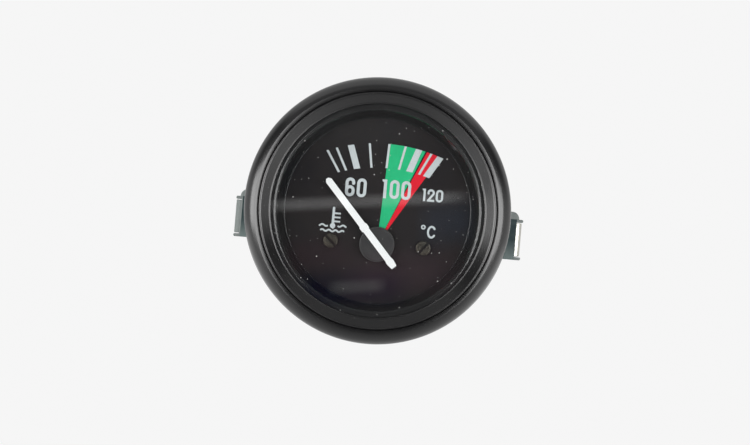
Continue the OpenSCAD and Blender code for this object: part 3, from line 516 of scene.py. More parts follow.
class Bench:
    """A short way to add nodes to a tree and to join them."""

    def __init__(self, tree: bpy.types.NodeTree) -> None:
        """Keeps the tree."""
        self.tree = tree

    def add(self, kind: str, inputs: dict | None = None, **settings: object) -> bpy.types.Node:
        """Adds a node, sets what is given and joins what is a socket.

        Args:
            kind: The node's type.
            inputs: Values or output sockets by the name or number of an input.
            **settings: Settings of the node itself.

        Returns:
            The node.
        """
        node = self.tree.nodes.new(kind)
        for name, value in settings.items():
            setattr(node, name, value)
        for key, value in (inputs or {}).items():
            if isinstance(value, bpy.types.NodeSocket):
                self.tree.links.new(value, node.inputs[key])
            else:
                node.inputs[key].default_value = value
        return node

    def math(self, operation: str, a: object, b: object = 0.0, clamp: bool = False) -> Socket:
        """Adds a Math node and returns its value."""
        return self.add("ShaderNodeMath", {0: a, 1: b}, operation=operation, use_clamp=clamp).outputs[0]

    def times(self, a: object, b: object, clamp: bool = False) -> Socket:
        """Adds a product and returns it."""
        return self.math("MULTIPLY", a, b, clamp)

    def plus(self, a: object, b: object) -> Socket:
        """Adds a sum and returns it."""
        return self.math("ADD", a, b)

    def minus(self, a: object, b: object, clamp: bool = False) -> Socket:
        """Adds a difference and returns it."""
        return self.math("SUBTRACT", a, b, clamp)

    def vector(self, operation: str, *values: object) -> Socket:
        """Adds a Vector Math node and returns its vector."""
        return self.add("ShaderNodeVectorMath", dict(enumerate(values)), operation=operation).outputs[0]

    def blend(self, share: object, a: Socket, b: Socket) -> Socket:
        """Adds a Mix Shader node and returns its shader."""
        return self.add("ShaderNodeMixShader", {0: share, 1: a, 2: b}).outputs[0]

    def surface(self, shader: Socket) -> None:
        """Makes a shader the material's surface."""
        self.add("ShaderNodeOutputMaterial", {"Surface": shader})

    def remap(self, value: object, low: float, high: float, to_low: float, to_high: float) -> Socket:
        """Adds a clamped Map Range node and returns its value."""
        return self.add("ShaderNodeMapRange", {0: value, 1: low, 2: high, 3: to_low, 4: to_high}).outputs[0]

    def mix(self, share: object, a: object, b: object) -> Socket:
        """Adds a colour Mix node and returns its colour."""
        return self.add("ShaderNodeMix", {0: share, 6: a, 7: b}, data_type="RGBA").outputs[2]

    def grey(self, value: Socket) -> Socket:
        """Returns a vector with a value in all three places."""
        return self.add("ShaderNodeCombineXYZ", {0: value, 1: value, 2: value}).outputs[0]

    def noise(self, vector: Socket, scale: object, detail: float, roughness: float) -> Socket:
        """Adds a Noise Texture node and returns its value."""
        return self.add("ShaderNodeTexNoise", {
            "Vector": vector, "Scale": scale, "Detail": detail, "Roughness": roughness}).outputs[0]

    def group(self, fill: Callable[["Bench", bpy.types.NodeOutputs], dict[str, Socket]],
              inputs: dict[str, object]) -> bpy.types.NodeOutputs:
        """Adds a group of nodes that all materials share, which is made at its first use.

        Args:
            fill: Adds the nodes inside. It gets their bench and the group's inputs, and returns
                the group's outputs by name.
            inputs: Values or sockets for the group's inputs: Vector, and plain numbers.

        Returns:
            The outputs of the group.
        """
        tree = bpy.data.node_groups.get(fill.__name__)
        if tree is None:
            tree = bpy.data.node_groups.new(fill.__name__, "ShaderNodeTree")
            for title in inputs:
                kind = "NodeSocketVector" if title == "Vector" else "NodeSocketFloat"
                tree.interface.new_socket(title, in_out="INPUT", socket_type=kind)
            inside = Bench(tree)
            outputs = fill(inside, inside.add("NodeGroupInput").outputs)
            for title in outputs:
                tree.interface.new_socket(title, in_out="OUTPUT", socket_type="NodeSocketFloat")
            inside.add("NodeGroupOutput", outputs)
        return self.add("ShaderNodeGroup", inputs, node_tree=tree).outputs


def cleared(owner: bpy.types.Material | bpy.types.World) -> Bench:
    """Returns a bench for a material's or the world's emptied nodes."""
    owner.use_nodes = True
    owner.node_tree.nodes.clear()
    return Bench(owner.node_tree)


def rgba(colour: Colour) -> tuple[float, float, float, float]:
    """Returns a colour with full alpha."""
    return (*colour, 1.0)


def mottle(bench: Bench, given: bpy.types.NodeOutputs) -> dict[str, Socket]:
    """Slow and fine variation of tone.

    Each noise keeps near its middle, and the remaps stretch that range to the whole of 0 to 1.

    Args:
        bench: The nodes inside the group.
        given: Vector, Scale, Grain Scale, and Grain as the fine noise's part of the mask.

    Returns:
        A mask from 0 to 1 and a height.
    """
    slow = bench.noise(given["Vector"], given["Scale"], 3.0, 0.55)
    fine = bench.noise(given["Vector"], given["Grain Scale"], 2.0, 0.6)
    wide, near = bench.remap(slow, 0.32, 0.68, 0.0, 1.0), bench.remap(fine, 0.3, 0.7, 0.0, 1.0)
    mask = bench.add("ShaderNodeMix", {0: given["Grain"], 2: wide, 3: near})
    return {"Mask": mask.outputs[0], "Height": near}


def specks(bench: Bench, given: bpy.types.NodeOutputs) -> dict[str, Socket]:
    """Scattered round specks such as dust: one in some of the cells of a flat Voronoi pattern.

    One channel of a cell's colour says whether it has a speck, and the third power of another
    how large that is, between 0.3 and 1 times the largest radius.

    Args:
        bench: The nodes inside the group.
        given: Vector, Scale, Size as the largest radius in cells, and Share of the cells.

    Returns:
        The mask of the specks.
    """
    cells = bench.add("ShaderNodeTexVoronoi", {
        "Vector": given["Vector"], "Scale": given["Scale"], "Randomness": 1.0}, voronoi_dimensions="2D")
    lot = bench.add("ShaderNodeSeparateColor", {0: cells.outputs["Color"]}).outputs
    drawn = bench.math("POWER", lot[1], 3.0)
    radius = bench.times(given["Size"], bench.remap(drawn, 0.0, 1.0, 0.3, 1.0))
    inside = bench.math("DIVIDE", bench.minus(radius, cells.outputs["Distance"]), radius)
    spot = bench.remap(inside, 0.0, 0.5, 0.0, 1.0)
    return {"Mask": bench.times(spot, bench.math("LESS_THAN", lot[0], given["Share"]))}


def scuffs(bench: Bench, given: bpy.types.NodeOutputs) -> dict[str, Socket]:
    """Fine lines from rolling, drawing or handling, broken up by slow patches.

    Only the upper part of the noise becomes lines, and they show where the patches allow it.

    Args:
        bench: The nodes inside the group.
        given: Vector, stretched along the lines, and Scale.

    Returns:
        The mask of the lines.
    """
    lines = bench.noise(given["Vector"], given["Scale"], 4.0, 0.7)
    patches = bench.noise(given["Vector"], PATCH_SCALE, 1.0, 0.5)
    sharp, broken = bench.remap(lines, 0.45, 0.7, 0.0, 1.0), bench.remap(patches, 0.4, 0.65, 0.0, 1.0)
    return {"Mask": bench.times(sharp, broken)}


# Finishes


# How much of a painted shade's mask is the mottle, and how much smoother a scuff is than its finish
SHADE_BREAK = 0.15
SCUFF_POLISH = 0.12
# Optics of plain glass, roughness of dust, and what tells a ray that has passed both faces
GLASS_IOR = 1.5
DUST_ROUGHNESS = 0.9
BOTH_FACES = 1.5
# Turns the dial's plane, which stands upright in the frame, into the plane of a flat pattern
TO_DIAL_PLANE = (math.radians(-90), 0.0, 0.0)


@dataclass(frozen=True)
class Specks:
    """Specks that lie on a finish, such as dust.

    Scale is the number of cells in a metre, size a speck's largest radius in cells and share the
    part of the cells that have one.
    """

    colour: Colour
    scale: float
    size: float
    share: float
    strength: float


@dataclass(frozen=True)
class Scuffs:
    """Fine lines on a finish, stretched along one way of the frame."""

    stretch: tuple[float, float, float]
    scale: float
    strength: float
    colour: Colour | None = None


@dataclass(frozen=True)
class Finish:
    """An opaque finish: two tones mixed by a mottle, a range of roughness and a fine grain.

    Mottle and grain are noise scales per metre and depth is the grain's height in millimetres.
    Shade heights are the two heights in millimetres between which the first tone gives way to the second: a
    painted shade that changes with height.
    """

    slot: str
    colour: Colour
    second: Colour
    roughness: tuple[float, float]
    metallic: float = 0.0
    mottle: float = 300.0
    grain: float = 4000.0
    grain_share: float = 0.3
    depth: float = 0.004
    specular: float = 0.5
    specks: Specks | None = None
    scuffs: Scuffs | None = None
    shade_heights: tuple[float, float] | None = None
    variant: str = "finish"

    def material(self) -> bpy.types.Material:
        """Returns the finish's material, built once."""
        name = f"{self.slot}_{self.variant}"
        if name in bpy.data.materials:
            return bpy.data.materials[name]
        made = bpy.data.materials.new(name)
        made.diffuse_color = rgba(self.colour)
        bench = cleared(made)
        bench.surface(self.shader(bench))
        return made

    def tone(self, bench: Bench, at: Socket) -> bpy.types.NodeOutputs:
        """Adds the mottle at this finish's scales and returns its mask and height."""
        return bench.group(mottle, {
            "Vector": at, "Scale": self.mottle, "Grain Scale": self.grain, "Grain": self.grain_share})

    def shader(self, bench: Bench) -> Socket:
        """Builds the surface.

        Args:
            bench: The material's nodes.

        Returns:
            Its shader.
        """
        at = bench.add("ShaderNodeTexCoord").outputs["Object"]
        tone = self.tone(bench, at)
        mask, height = tone["Mask"], tone["Height"]
        # Where the finish paints shade by height, its mask gives way from the first tone to the second
        # between those heights
        if self.shade_heights:
            mask = self.painted_shade(bench, at, mask)
        colour = bench.mix(mask, rgba(self.colour), rgba(self.second))
        rough = bench.remap(mask, 0.0, 1.0, *self.roughness)
        if self.scuffs:
            colour, rough, height = self.scuffed(bench, at, colour, rough, height)
        if self.specks:
            spot = self.specked(bench, at)
            colour = bench.mix(spot, colour, rgba(self.specks.colour))
            height = bench.plus(height, spot)
        bump = bench.add("ShaderNodeBump", {
            "Height": height, "Strength": 1.0, "Distance": self.depth * MM})
        surface = bench.add("ShaderNodeBsdfPrincipled", {
            "Base Color": colour, "Roughness": rough, "Metallic": self.metallic,
            "Specular IOR Level": self.specular, "Normal": bump.outputs[0]})
        return surface.outputs[0]

    def painted_shade(self, bench: Bench, at: Socket, mask: Socket) -> Socket:
        """Makes a mask of painted shade that rises between the two shade heights, broken up by the mottle.

        Args:
            bench: The material's nodes.
            at: Place on the piece.
            mask: The mottle's mask.

        Returns:
            The rise times 0.85 plus the mottle's mask times 0.15.
        """
        height = bench.add("ShaderNodeSeparateXYZ", {0: at}).outputs["Z"]
        start, end = self.shade_heights[0] * MM, self.shade_heights[1] * MM
        rise = bench.remap(height, start, end, 0.0, 1.0 - SHADE_BREAK)
        return bench.plus(rise, bench.times(mask, SHADE_BREAK))

    def scuffed(self, bench: Bench, at: Socket, colour: Socket, rough: Socket,
                height: Socket) -> tuple[Socket, Socket, Socket]:
        """Adds the scuffs, which are slightly smoother and lie a little deeper than the rest.

        Args:
            bench: The material's nodes.
            at: Place on the piece.
            colour: The finish's colour without scuffs.
            rough: Its roughness.
            height: Its height.

        Returns:
            The new colour, roughness and height.
        """
        marks = self.scuffs
        stretched = bench.add("ShaderNodeMapping", {"Vector": at, "Scale": marks.stretch})
        lines = bench.group(scuffs, {"Vector": stretched.outputs[0], "Scale": marks.scale})
        amount = bench.times(lines[0], marks.strength)
        if marks.colour:
            colour = bench.mix(amount, colour, rgba(marks.colour))
        rough = bench.minus(rough, bench.times(amount, SCUFF_POLISH), clamp=True)
        return colour, rough, bench.minus(height, amount)

    def specked(self, bench: Bench, at: Socket) -> Socket:
        """Adds the specks, spread over the dial's plane.

        Args:
            bench: The material's nodes.
            at: Place on the piece.

        Returns:
            Their mask.
        """
        front = bench.add("ShaderNodeMapping", {"Vector": at, "Rotation": TO_DIAL_PLANE})
        dots = bench.group(specks, {
            "Vector": front.outputs[0], "Scale": self.specks.scale, "Size": self.specks.size,
            "Share": self.specks.share})
        return bench.times(dots[0], self.specks.strength)


@dataclass(frozen=True)
class Glass(Finish):
    """Clear glass that lets lamps through, with dust lying on it."""

    def shader(self, bench: Bench) -> Socket:
        """Builds the clear surface with its dust.

        Rays of shadow and of matt light go straight through, and so do mirror-like rays that
        have passed both faces of the glass.

        Args:
            bench: The material's nodes.

        Returns:
            Its shader.
        """
        at = bench.add("ShaderNodeTexCoord").outputs["Object"]
        rough = bench.remap(self.tone(bench, at)["Mask"], 0.0, 1.0, *self.roughness)
        clear = bench.add("ShaderNodeBsdfPrincipled", {
            "Base Color": rgba(self.colour), "Roughness": rough, "IOR": GLASS_IOR,
            "Transmission Weight": 1.0}).outputs[0]
        open_way = bench.add("ShaderNodeBsdfTransparent", {0: rgba(self.colour)}).outputs[0]
        path = bench.add("ShaderNodeLightPath").outputs
        lit = bench.math("MAXIMUM", path["Is Shadow Ray"], path["Is Diffuse Ray"])
        through = bench.math("GREATER_THAN", path["Transmission Depth"], BOTH_FACES)
        lit = bench.math("MAXIMUM", lit, bench.times(through, path["Is Glossy Ray"]))
        pane = bench.blend(lit, clear, open_way)
        if not self.specks:
            return pane
        spot = self.specked(bench, at)
        dust = bench.add("ShaderNodeBsdfPrincipled", {
            "Base Color": rgba(self.specks.colour), "Roughness": DUST_ROUGHNESS}).outputs[0]
        return bench.blend(spot, pane, dust)


BEZEL_PAINT = Finish(
    "bezel_paint", (0.0050, 0.0050, 0.0056), (0.0068, 0.0065, 0.0068), (0.20, 0.25),
    mottle=160.0, grain=5200.0, grain_share=0.35, depth=0.0010, specular=0.9,
    specks=Specks((0.34, 0.34, 0.33), 300.0, 0.030, 0.10, 0.8))
CASE_STEEL = Finish(
    "case_steel", (0.52, 0.52, 0.50), (0.62, 0.61, 0.58), (0.26, 0.40), metallic=1.0,
    mottle=140.0, grain=3600.0, depth=0.003,
    scuffs=Scuffs((1.0, 0.06, 1.0), 1500.0, 0.5))
LENS = Glass(
    "lens", (0.985, 0.99, 0.99), (1.0, 1.0, 1.0), (0.0, 0.012), mottle=90.0,
    specks=Specks((0.74, 0.74, 0.73), 620.0, 0.09, 0.17, 0.75))
SEAL_RUBBER = Finish("seal_rubber", (0.012, 0.012, 0.012), (0.020, 0.020, 0.020), (0.6, 0.75))
SPACER_PLASTIC = Finish(
    "spacer_plastic", (0.0080, 0.0080, 0.0085), (0.0102, 0.0100, 0.0105), (0.14, 0.19),
    mottle=220.0, grain=4200.0, depth=0.001, specular=0.62)
DIAL_BLACK = Finish(
    "dial_black", (0.0108, 0.0090, 0.0106), (0.0172, 0.0140, 0.0138), (0.6, 0.75),
    mottle=95.0, grain=5000.0, grain_share=0.25, depth=0.002, specular=0.1)
INK_WHITE = Finish(
    "ink_white", (0.53, 0.58, 0.595), (0.59, 0.635, 0.65), (0.5, 0.65), mottle=900.0, depth=0.002,
    specular=0.15)
INK_GREEN = Finish(
    "ink_green", (0.010, 0.44, 0.178), (0.016, 0.495, 0.207), (0.5, 0.65), mottle=700.0, depth=0.002,
    specular=0.15)
INK_RED = Finish(
    "ink_red", (0.68, 0.003, 0.019), (0.755, 0.006, 0.026), (0.5, 0.65), mottle=700.0, depth=0.002,
    specular=0.15)
SCREW_BRONZE = Finish(
    "screw_bronze", (0.028, 0.026, 0.021), (0.054, 0.050, 0.040), (0.30, 0.5), metallic=0.9,
    mottle=900.0, grain=9000.0, depth=0.004,
    scuffs=Scuffs((1.0, 1.0, 0.15), 5000.0, 0.5, (0.20, 0.18, 0.14)))
# Painted shade for the screws' slots: a dark, matt copy of the bronze
SLOT_PAINTED_SHADE = Finish(
    "screw_bronze", (0.010, 0.009, 0.007), (0.018, 0.016, 0.012), (0.55, 0.7), mottle=900.0,
    specular=0.2, variant="slot")
BRASS = Finish("brass", (0.60, 0.42, 0.16), (0.68, 0.50, 0.22), (0.25, 0.4), metallic=1.0)
STEEL = Finish(
    "steel", (0.50, 0.50, 0.49), (0.60, 0.60, 0.58), (0.28, 0.42), metallic=1.0,
    scuffs=Scuffs((1.0, 0.1, 1.0), 2400.0, 0.4))
MAGNET = Finish("magnet", (0.035, 0.035, 0.038), (0.055, 0.053, 0.052), (0.45, 0.6))
FORMER_PLASTIC = Finish("former_plastic", (0.74, 0.68, 0.52), (0.80, 0.75, 0.60), (0.38, 0.5))
COIL_COPPER = Finish(
    "coil_copper", (0.62, 0.20, 0.07), (0.74, 0.29, 0.11), (0.25, 0.4), metallic=1.0,
    scuffs=Scuffs((1.0, 8.0, 1.0), 900.0, 0.6, (0.30, 0.09, 0.03)))
LAMINATE = Finish(
    "laminate", (0.075, 0.028, 0.012), (0.115, 0.046, 0.020), (0.38, 0.55), mottle=420.0,
    grain=5200.0, depth=0.006)
TERMINAL_TIN = Finish(
    "terminal_tin", (0.66, 0.63, 0.53), (0.76, 0.73, 0.64), (0.22, 0.38), metallic=1.0,
    mottle=500.0, grain=5200.0, depth=0.003, scuffs=Scuffs((1.0, 0.08, 1.0), 2600.0, 0.5))
CERAMIC = Finish("ceramic", (0.76, 0.73, 0.66), (0.84, 0.81, 0.75), (0.6, 0.8), mottle=700.0)
LEAD_LACQUER = Finish("lead_lacquer", (0.20, 0.028, 0.012), (0.27, 0.045, 0.018), (0.25, 0.35))
ZINC = Finish(
    "zinc", (0.28, 0.37, 0.38), (0.38, 0.46, 0.46), (0.20, 0.27), metallic=1.0,
    mottle=260.0, grain=3400.0, grain_share=0.35, depth=0.004,
    scuffs=Scuffs((1.0, 1.0, 0.12), 1800.0, 0.4, (0.26, 0.33, 0.34)))
ZINC_WORN = Finish(
    "zinc", (0.22, 0.25, 0.245), (0.29, 0.32, 0.31), (0.45, 0.6), mottle=700.0, grain=5200.0,
    grain_share=0.45, depth=0.006, specular=0.35, variant="worn")
# Painted shade for the feet's faces: dark teal from 4 mm below the dial's middle upwards, where the bezel
# overhangs them, giving way to lighter zinc 8 mm below the middle, in place of the bezel's shadow
ZINC_PAINTED_SHADE = Finish(
    "zinc", (0.019, 0.043, 0.047), (0.20, 0.25, 0.245), (0.4, 0.5), mottle=500.0, grain=5200.0,
    depth=0.004, specular=0.22, shade_heights=(-4.0, -8.0), variant="painted_shade")
# Bright zinc of studs, nuts and washers; the bracket's right lip takes it too, as a painted highlight that
# makes it lighter than the left lip
ZINC_BRIGHT_AND_LIP_HIGHLIGHT = Finish(
    "zinc", (0.58, 0.58, 0.53), (0.68, 0.67, 0.60), (0.24, 0.38), metallic=1.0, variant="bright")
POINTER_WHITE = Finish(
    "pointer_white", (0.88, 0.90, 0.90), (0.93, 0.945, 0.94), (0.35, 0.5), mottle=400.0, depth=0.002)
HUB_PLASTIC = Finish(
    "hub_plastic", (0.017, 0.017, 0.018), (0.025, 0.024, 0.025), (0.36, 0.46), mottle=300.0,
    grain=5200.0, depth=0.003, specular=0.3)
# Painted highlight for the hub cover's rounded rim: a lighter grey than the cover, standing in for the lamps'
# reflection along it
HUB_PAINTED_HIGHLIGHT = Finish(
    "hub_plastic", (0.055, 0.055, 0.055), (0.085, 0.085, 0.084), (0.36, 0.46), mottle=300.0,
    grain=5200.0, depth=0.003, specular=0.5, variant="rim")
BULB_METAL = Finish("bulb_metal", (0.62, 0.56, 0.42), (0.72, 0.66, 0.52), (0.25, 0.4), metallic=1.0)
BULB_ENVELOPE = Glass("bulb_envelope", (0.97, 0.98, 0.98), (1.0, 1.0, 1.0), (0.0, 0.02))

# What each CAD node that keeps its shape is finished in
KEPT_NODES: dict[str, Finish] = {
    "lens_seal": SEAL_RUBBER, "dial_plate": DIAL_BLACK, "dial_print_white": INK_WHITE,
    "dial_print_green": INK_GREEN, "dial_print_red": INK_RED, "dial_pillars": BRASS,
    "movement_plate": STEEL, "support_posts": STEEL, "post_screws": STEEL,
    "shield_can": STEEL, "former_front": FORMER_PLASTIC, "former_rear": FORMER_PLASTIC,
    "coil_inner": COIL_COPPER, "coil_outer": COIL_COPPER, "upper_bearing": BRASS,
    "lower_bearing": BRASS, "return_magnet": MAGNET, "end_stops": STEEL,
    "terminal_rivets": TERMINAL_TIN, "ballast_resistor": CERAMIC, "coil_leads": LEAD_LACQUER,
    "spindle": STEEL, "rotor_magnet": MAGNET, "stop_arm": STEEL,
    "bulb_base": BULB_METAL, "bulb_glass": BULB_ENVELOPE,
}


# Sub-assemblies


@dataclass
class Case:
    """The drawn can behind the bezel, with its rear openings."""

    radius: float = 25.8
    wall: float = 0.6
    depth: float = 34.0
    corner: float = 2.0
    corner_row: float = 0.6
    edge_round: float = 0.25
    flange_radius: float = 29.2
    flange_front: float = 1.2
    stud_hole: float = 2.05
    lamp_hole: float = 5.2
    terminals: tuple[tuple[Point, float], ...] = (
        ((-14.5, 10.0), 0.0), ((14.5, 10.0), 180.0), ((0.0, -17.0), 90.0))
    terminal_hole: tuple[float, float] = (3.6, 8.7)
    cut: tuple[float, float] = (-1.0, 1.5)

    def profile(self) -> np.ndarray:
        """Half section of the can: rear wall, corner, side, flange and back along the inside."""
        r, t, d, c = self.radius, self.wall, self.depth, self.corner
        back = self.flange_front - t
        inner, flat = r - t, r - c - self.corner_row
        return np.vstack([
            [(0, -d), (flat, -d)],
            arc((r - c, c - d), c, -90, 0, 14),
            rounded([(r, 2 * c - d), (r, back), (self.flange_radius, back),
                     (self.flange_radius, self.flange_front), (inner, self.flange_front),
                     (inner, c - d)], self.edge_round, 5),
            arc((r - c, c - d), c - t, 0, -90, 10),
            [(flat, t - d), (0, t - d)],
        ])

    def build(self) -> None:
        """Builds the can, cuts its rear openings and dresses it."""
        back, front = (end - self.depth for end in self.cut)
        outlines = [circle(at, self.stud_hole, steps=48) for at in STUDS_AT]
        outlines.append(circle(LAMP_AT, self.lamp_hole, steps=96))
        outlines += [box_outline(at, *self.terminal_hole, turn) for at, turn in self.terminals]
        cuts = [plug(outline, back, front) for outline in outlines]
        make("can", revolve(self.profile(), columns=256), "case_can", Body.GAUGE, CASE_STEEL,
             sharp=30, flats=True, cuts=cuts)


@dataclass
class Bezel:
    """The rolled sheet ring that closes over the glass and the can's flange."""

    radius: float = 30.0
    sheet: float = 0.6
    height: float = 6.4
    roll: float = 3.6
    crest_at: float = 27.57
    crest_round: float = 3.6
    crest_from: float = 101.0
    groove_at: float = 27.0
    groove_floor: float = 5.25
    groove_round: float = 0.08
    bead_at: float = 26.3
    bead: float = 0.5
    bead_top: float = 5.85
    bead_end: float = 132.0
    lip_at: float = 24.02
    lip_back: float = 3.6
    lip_top: float = 4.25
    lip_rise: float = 0.03
    slope_foot: float = 24.34
    relief: float = 0.15
    inner_top: float = 4.6
    band_round: float = 0.09

    def profile(self) -> np.ndarray:
        """Half section: crimped edge, side, roll, crest, groove, bead, sloping band, lip and back."""
        t, low = self.sheet, self.groove_floor
        roll_at = self.radius - self.roll
        roll_z = self.height - math.sqrt(self.roll ** 2 - (self.crest_at - roll_at) ** 2)
        top = math.degrees(math.atan2(self.height - roll_z, self.crest_at - roll_at))
        start = math.radians(self.crest_from)
        middle = self.crest_at - self.crest_round * math.cos(start)
        wall = math.degrees(math.acos((self.groove_at - middle) / self.crest_round))
        crest = arc((middle, self.height - self.crest_round * math.sin(start)), self.crest_round,
                    self.crest_from, wall, 14)
        bead_out, bead_z = self.bead_at + self.bead, self.bead_top - self.bead
        face = rounded([
            tuple(crest[-1]), (self.groove_at, low), (bead_out, low), (bead_out, bead_z),
        ], self.groove_round, 4)
        bead = arc((self.bead_at, bead_z), self.bead, 0, self.bead_end, 14)
        band = rounded([
            tuple(bead[-1]), (self.slope_foot, self.lip_top + self.lip_rise), (self.lip_at, self.lip_top),
            (self.lip_at, self.lip_back), (self.slope_foot, self.lip_back),
            (self.slope_foot + self.relief, self.lip_back + self.relief),
            (self.groove_at + t, self.lip_back + self.relief),
            (self.groove_at + t, self.inner_top)], self.band_round, 4)
        return np.vstack([
            arc((self.groove_at + t / 2, t / 2), t / 2, 90, 270, 10),
            arc((self.radius - t, t), t, -90, 0, 8),
            arc((roll_at, roll_z), self.roll, 0, top, 30),
            crest[:-1], face[:-1], bead[:-1], band,
            arc((roll_at, roll_z), self.roll - t, top, 0, 14),
            [(self.radius - t, t)],
        ])

    def build(self) -> None:
        """Builds and dresses the ring."""
        make("bezel", revolve(self.profile(), columns=384), "bezel_ring", Body.GAUGE, BEZEL_PAINT,
             sharp=28)


@dataclass
class Front:
    """The glass and the conical spacer under it."""

    glass_radius: float = 28.4
    glass_back: float = 1.9
    glass_front: float = 3.6
    glass_flat: float = 1.0
    glass_edge: float = 0.2
    spacer_foot: float = 21.1
    spacer_top: float = 22.45
    spacer_wall: float = 1.0
    spacer_rim: float = 25.1
    spacer_gap: float = 0.15
    spacer_round: float = 1.05
    spacer_edge: float = 0.12
    top_flat: float = 0.3
    top_end: float = 168.0
    foot_ring: float = 0.28
    ring_step: tuple[float, float] = (0.14, 0.5)

    def glass(self) -> None:
        """Builds the flat glass with its ground edge."""
        z0, z1, r = self.glass_back, self.glass_front, self.glass_radius
        flat = r - self.glass_flat
        edge = rounded([(flat, z0), (r, z0), (r, z1), (flat, z1)], self.glass_edge, 4)
        profile = np.vstack([[(0, z0)], edge, [(0, z1)]])
        make("glass", revolve(profile, columns=256), "glass_lens", Body.GAUGE, LENS, sharp=20)

    def spacer(self) -> None:
        """Builds the cone between dial and glass, with its rounded top edge."""
        top, w, b = self.glass_back - self.spacer_gap, self.spacer_wall, self.spacer_round
        foot, ring, (step_out, step_up) = self.spacer_foot, self.foot_ring, self.ring_step
        shoulder = rounded([
            (foot, DIAL_FACE), (foot + w, DIAL_FACE),
            (self.spacer_top + w, top - w), (self.spacer_rim, top - w),
            (self.spacer_rim, top), (self.spacer_top + b + self.top_flat, top)], self.spacer_edge, 4)
        ledge = arc((foot + ring / 2, DIAL_FACE + ring), ring / 2, 60, 180, 8)
        profile = np.vstack([
            shoulder, arc((self.spacer_top + b, top - b), b, 90, self.top_end, 10),
            [(foot + ring + step_out, DIAL_FACE + ring + step_up)], ledge])
        make("spacer", revolve(profile, columns=320), "spacer_ring", Body.GAUGE, SPACER_PLASTIC,
             sharp=40)

    def build(self) -> None:
        """Builds both pieces."""
        self.spacer()
        self.glass()


@dataclass
class DialScrews:
    """The two slotted screws that hold the dial to its pillars."""

    places: tuple[Point, Point] = ((-10.1, -7.6), (11.1, -7.6))
    slot_turns: tuple[float, float] = (-43.0, 51.5)
    head_radius: float = 1.7
    head_height: float = 1.0
    head_flat: float = 0.9
    head_drop: float = 0.08
    head_round: float = 0.22
    shank_radius: float = 1.0
    shank_foot: float = -9.8
    slot_width: float = 0.62
    slot_depth: float = 0.6
    slot_past: float = 1.0
    shade_under: float = 0.2
    shade_within: float = 0.05

    def build(self) -> None:
        """Builds both screws as one group of solids and dresses it."""
        top, r = DIAL_FACE + self.head_height, self.head_radius
        head = rounded([(self.shank_radius, DIAL_FACE), (r, DIAL_FACE), (r, top - self.head_drop),
                        (self.head_flat * r, top), (0, top)], self.head_round, 6)
        profile = np.vstack([[(0, self.shank_foot), (self.shank_radius, self.shank_foot)], head])
        left, right = (revolve(profile, columns=72, at=at) for at in self.places)
        slots = []
        for at, turn in zip(self.places, self.slot_turns):
            slot = box_outline(at, 2 * r + self.slot_past, self.slot_width, turn)
            slots.append(plug(slot, top - self.slot_depth, top + self.slot_past))
        screws = make("dial_screw_pair", left.plus(right), "dial_screws", Body.GAUGE, SCREW_BRONZE,
                      sharp=35, flats=True, cuts=slots)
        middle = face_centres(screws)
        off = np.min([np.hypot(middle[:, 0] - x, middle[:, 1] - y) for x, y in self.places], axis=0)
        # Painted shade: the faces down in each slot, clear of the head's side, take the dark copy
        sunk = (middle[:, 2] < top - self.shade_under) & (middle[:, 2] > DIAL_FACE)
        refinish(screws, SLOT_PAINTED_SHADE, sunk & (off < r - self.shade_within))


@dataclass
class Pointer:
    """The white blade and the round cover under it, on the pointer's own body."""

    rest_turn: float = 41.8
    reach: float = 18.8
    nose: float = 0.6
    nose_share: float = 0.4
    tail: float = 6.55
    tail_share: float = 0.86
    shoulders: tuple[Point, ...] = ((1.18, -5.0), (1.14, -4.75), (1.0, -4.25))
    width: float = 1.55
    collar_share: float = 1.25
    collar_from: tuple[float, float] = (4.1, 4.2)
    collar_to: tuple[float, float] = (5.4, 5.5)
    corner_round: float = 0.06
    edge: float = 0.07
    blade_back: float = -3.8
    blade_front: float = -3.3
    hub_radius: float = 4.0
    hub_back: float = -5.4
    hub_round: float = 0.28
    boss_top: float = -4.6
    boss_radius: float = 1.3
    highlight_width: float = 0.15
    highlight_depth: float = 0.3

    def outline(self) -> np.ndarray:
        """Outline of the blade, pointing to twelve o'clock about the pivot.

        The widths of tail, shoulders, collar and nose are shares of the blade's width.
        """
        w = self.width / 2
        (start, wide_from), (wide_to, end) = self.collar_from, self.collar_to
        right = [(w * self.tail_share, -self.tail), *((w * share, y) for share, y in self.shoulders),
                 (w, start), (w * self.collar_share, wide_from), (w * self.collar_share, wide_to), (w, end),
                 (w, self.reach - self.nose), (w * self.nose_share, self.reach)]
        corners = right + [(-x, y) for x, y in reversed(right)]
        return rounded(corners, self.corner_round, 3, closed=True)

    def build(self) -> None:
        """Builds and dresses blade and hub."""
        blade = slab(turned(self.outline(), self.rest_turn, PIVOT_AT),
                     self.blade_back, self.blade_front, self.edge)
        make("pointer_needle", blade, "pointer_blade", Body.POINTER, POINTER_WHITE, sharp=50, flats=True)
        r, b = self.hub_radius, self.boss_radius
        cover = rounded([(0, self.hub_back), (b, self.hub_back), (b, self.boss_top),
                         (r, self.boss_top), (r, self.blade_back), (0, self.blade_back)], self.hub_round, 7)
        hub = make("pointer_cover", revolve(cover, columns=160, at=PIVOT_AT), "pointer_hub",
                   Body.POINTER, HUB_PLASTIC, sharp=35, flats=True)
        # Painted highlight: a narrow band round the cover's rim takes the lighter grey
        x, y, z = face_centres(hub).T
        off = np.hypot(x - PIVOT_AT[0], y - PIVOT_AT[1])
        refinish(hub, HUB_PAINTED_HIGHLIGHT, (off > r - self.highlight_width) & (z > self.blade_back - self.highlight_depth))


@dataclass(frozen=True)
class Lip:
    """The lip between a foot's teeth: how far it is bent back, in degrees, and on what radius."""

    bend: float
    fold: float


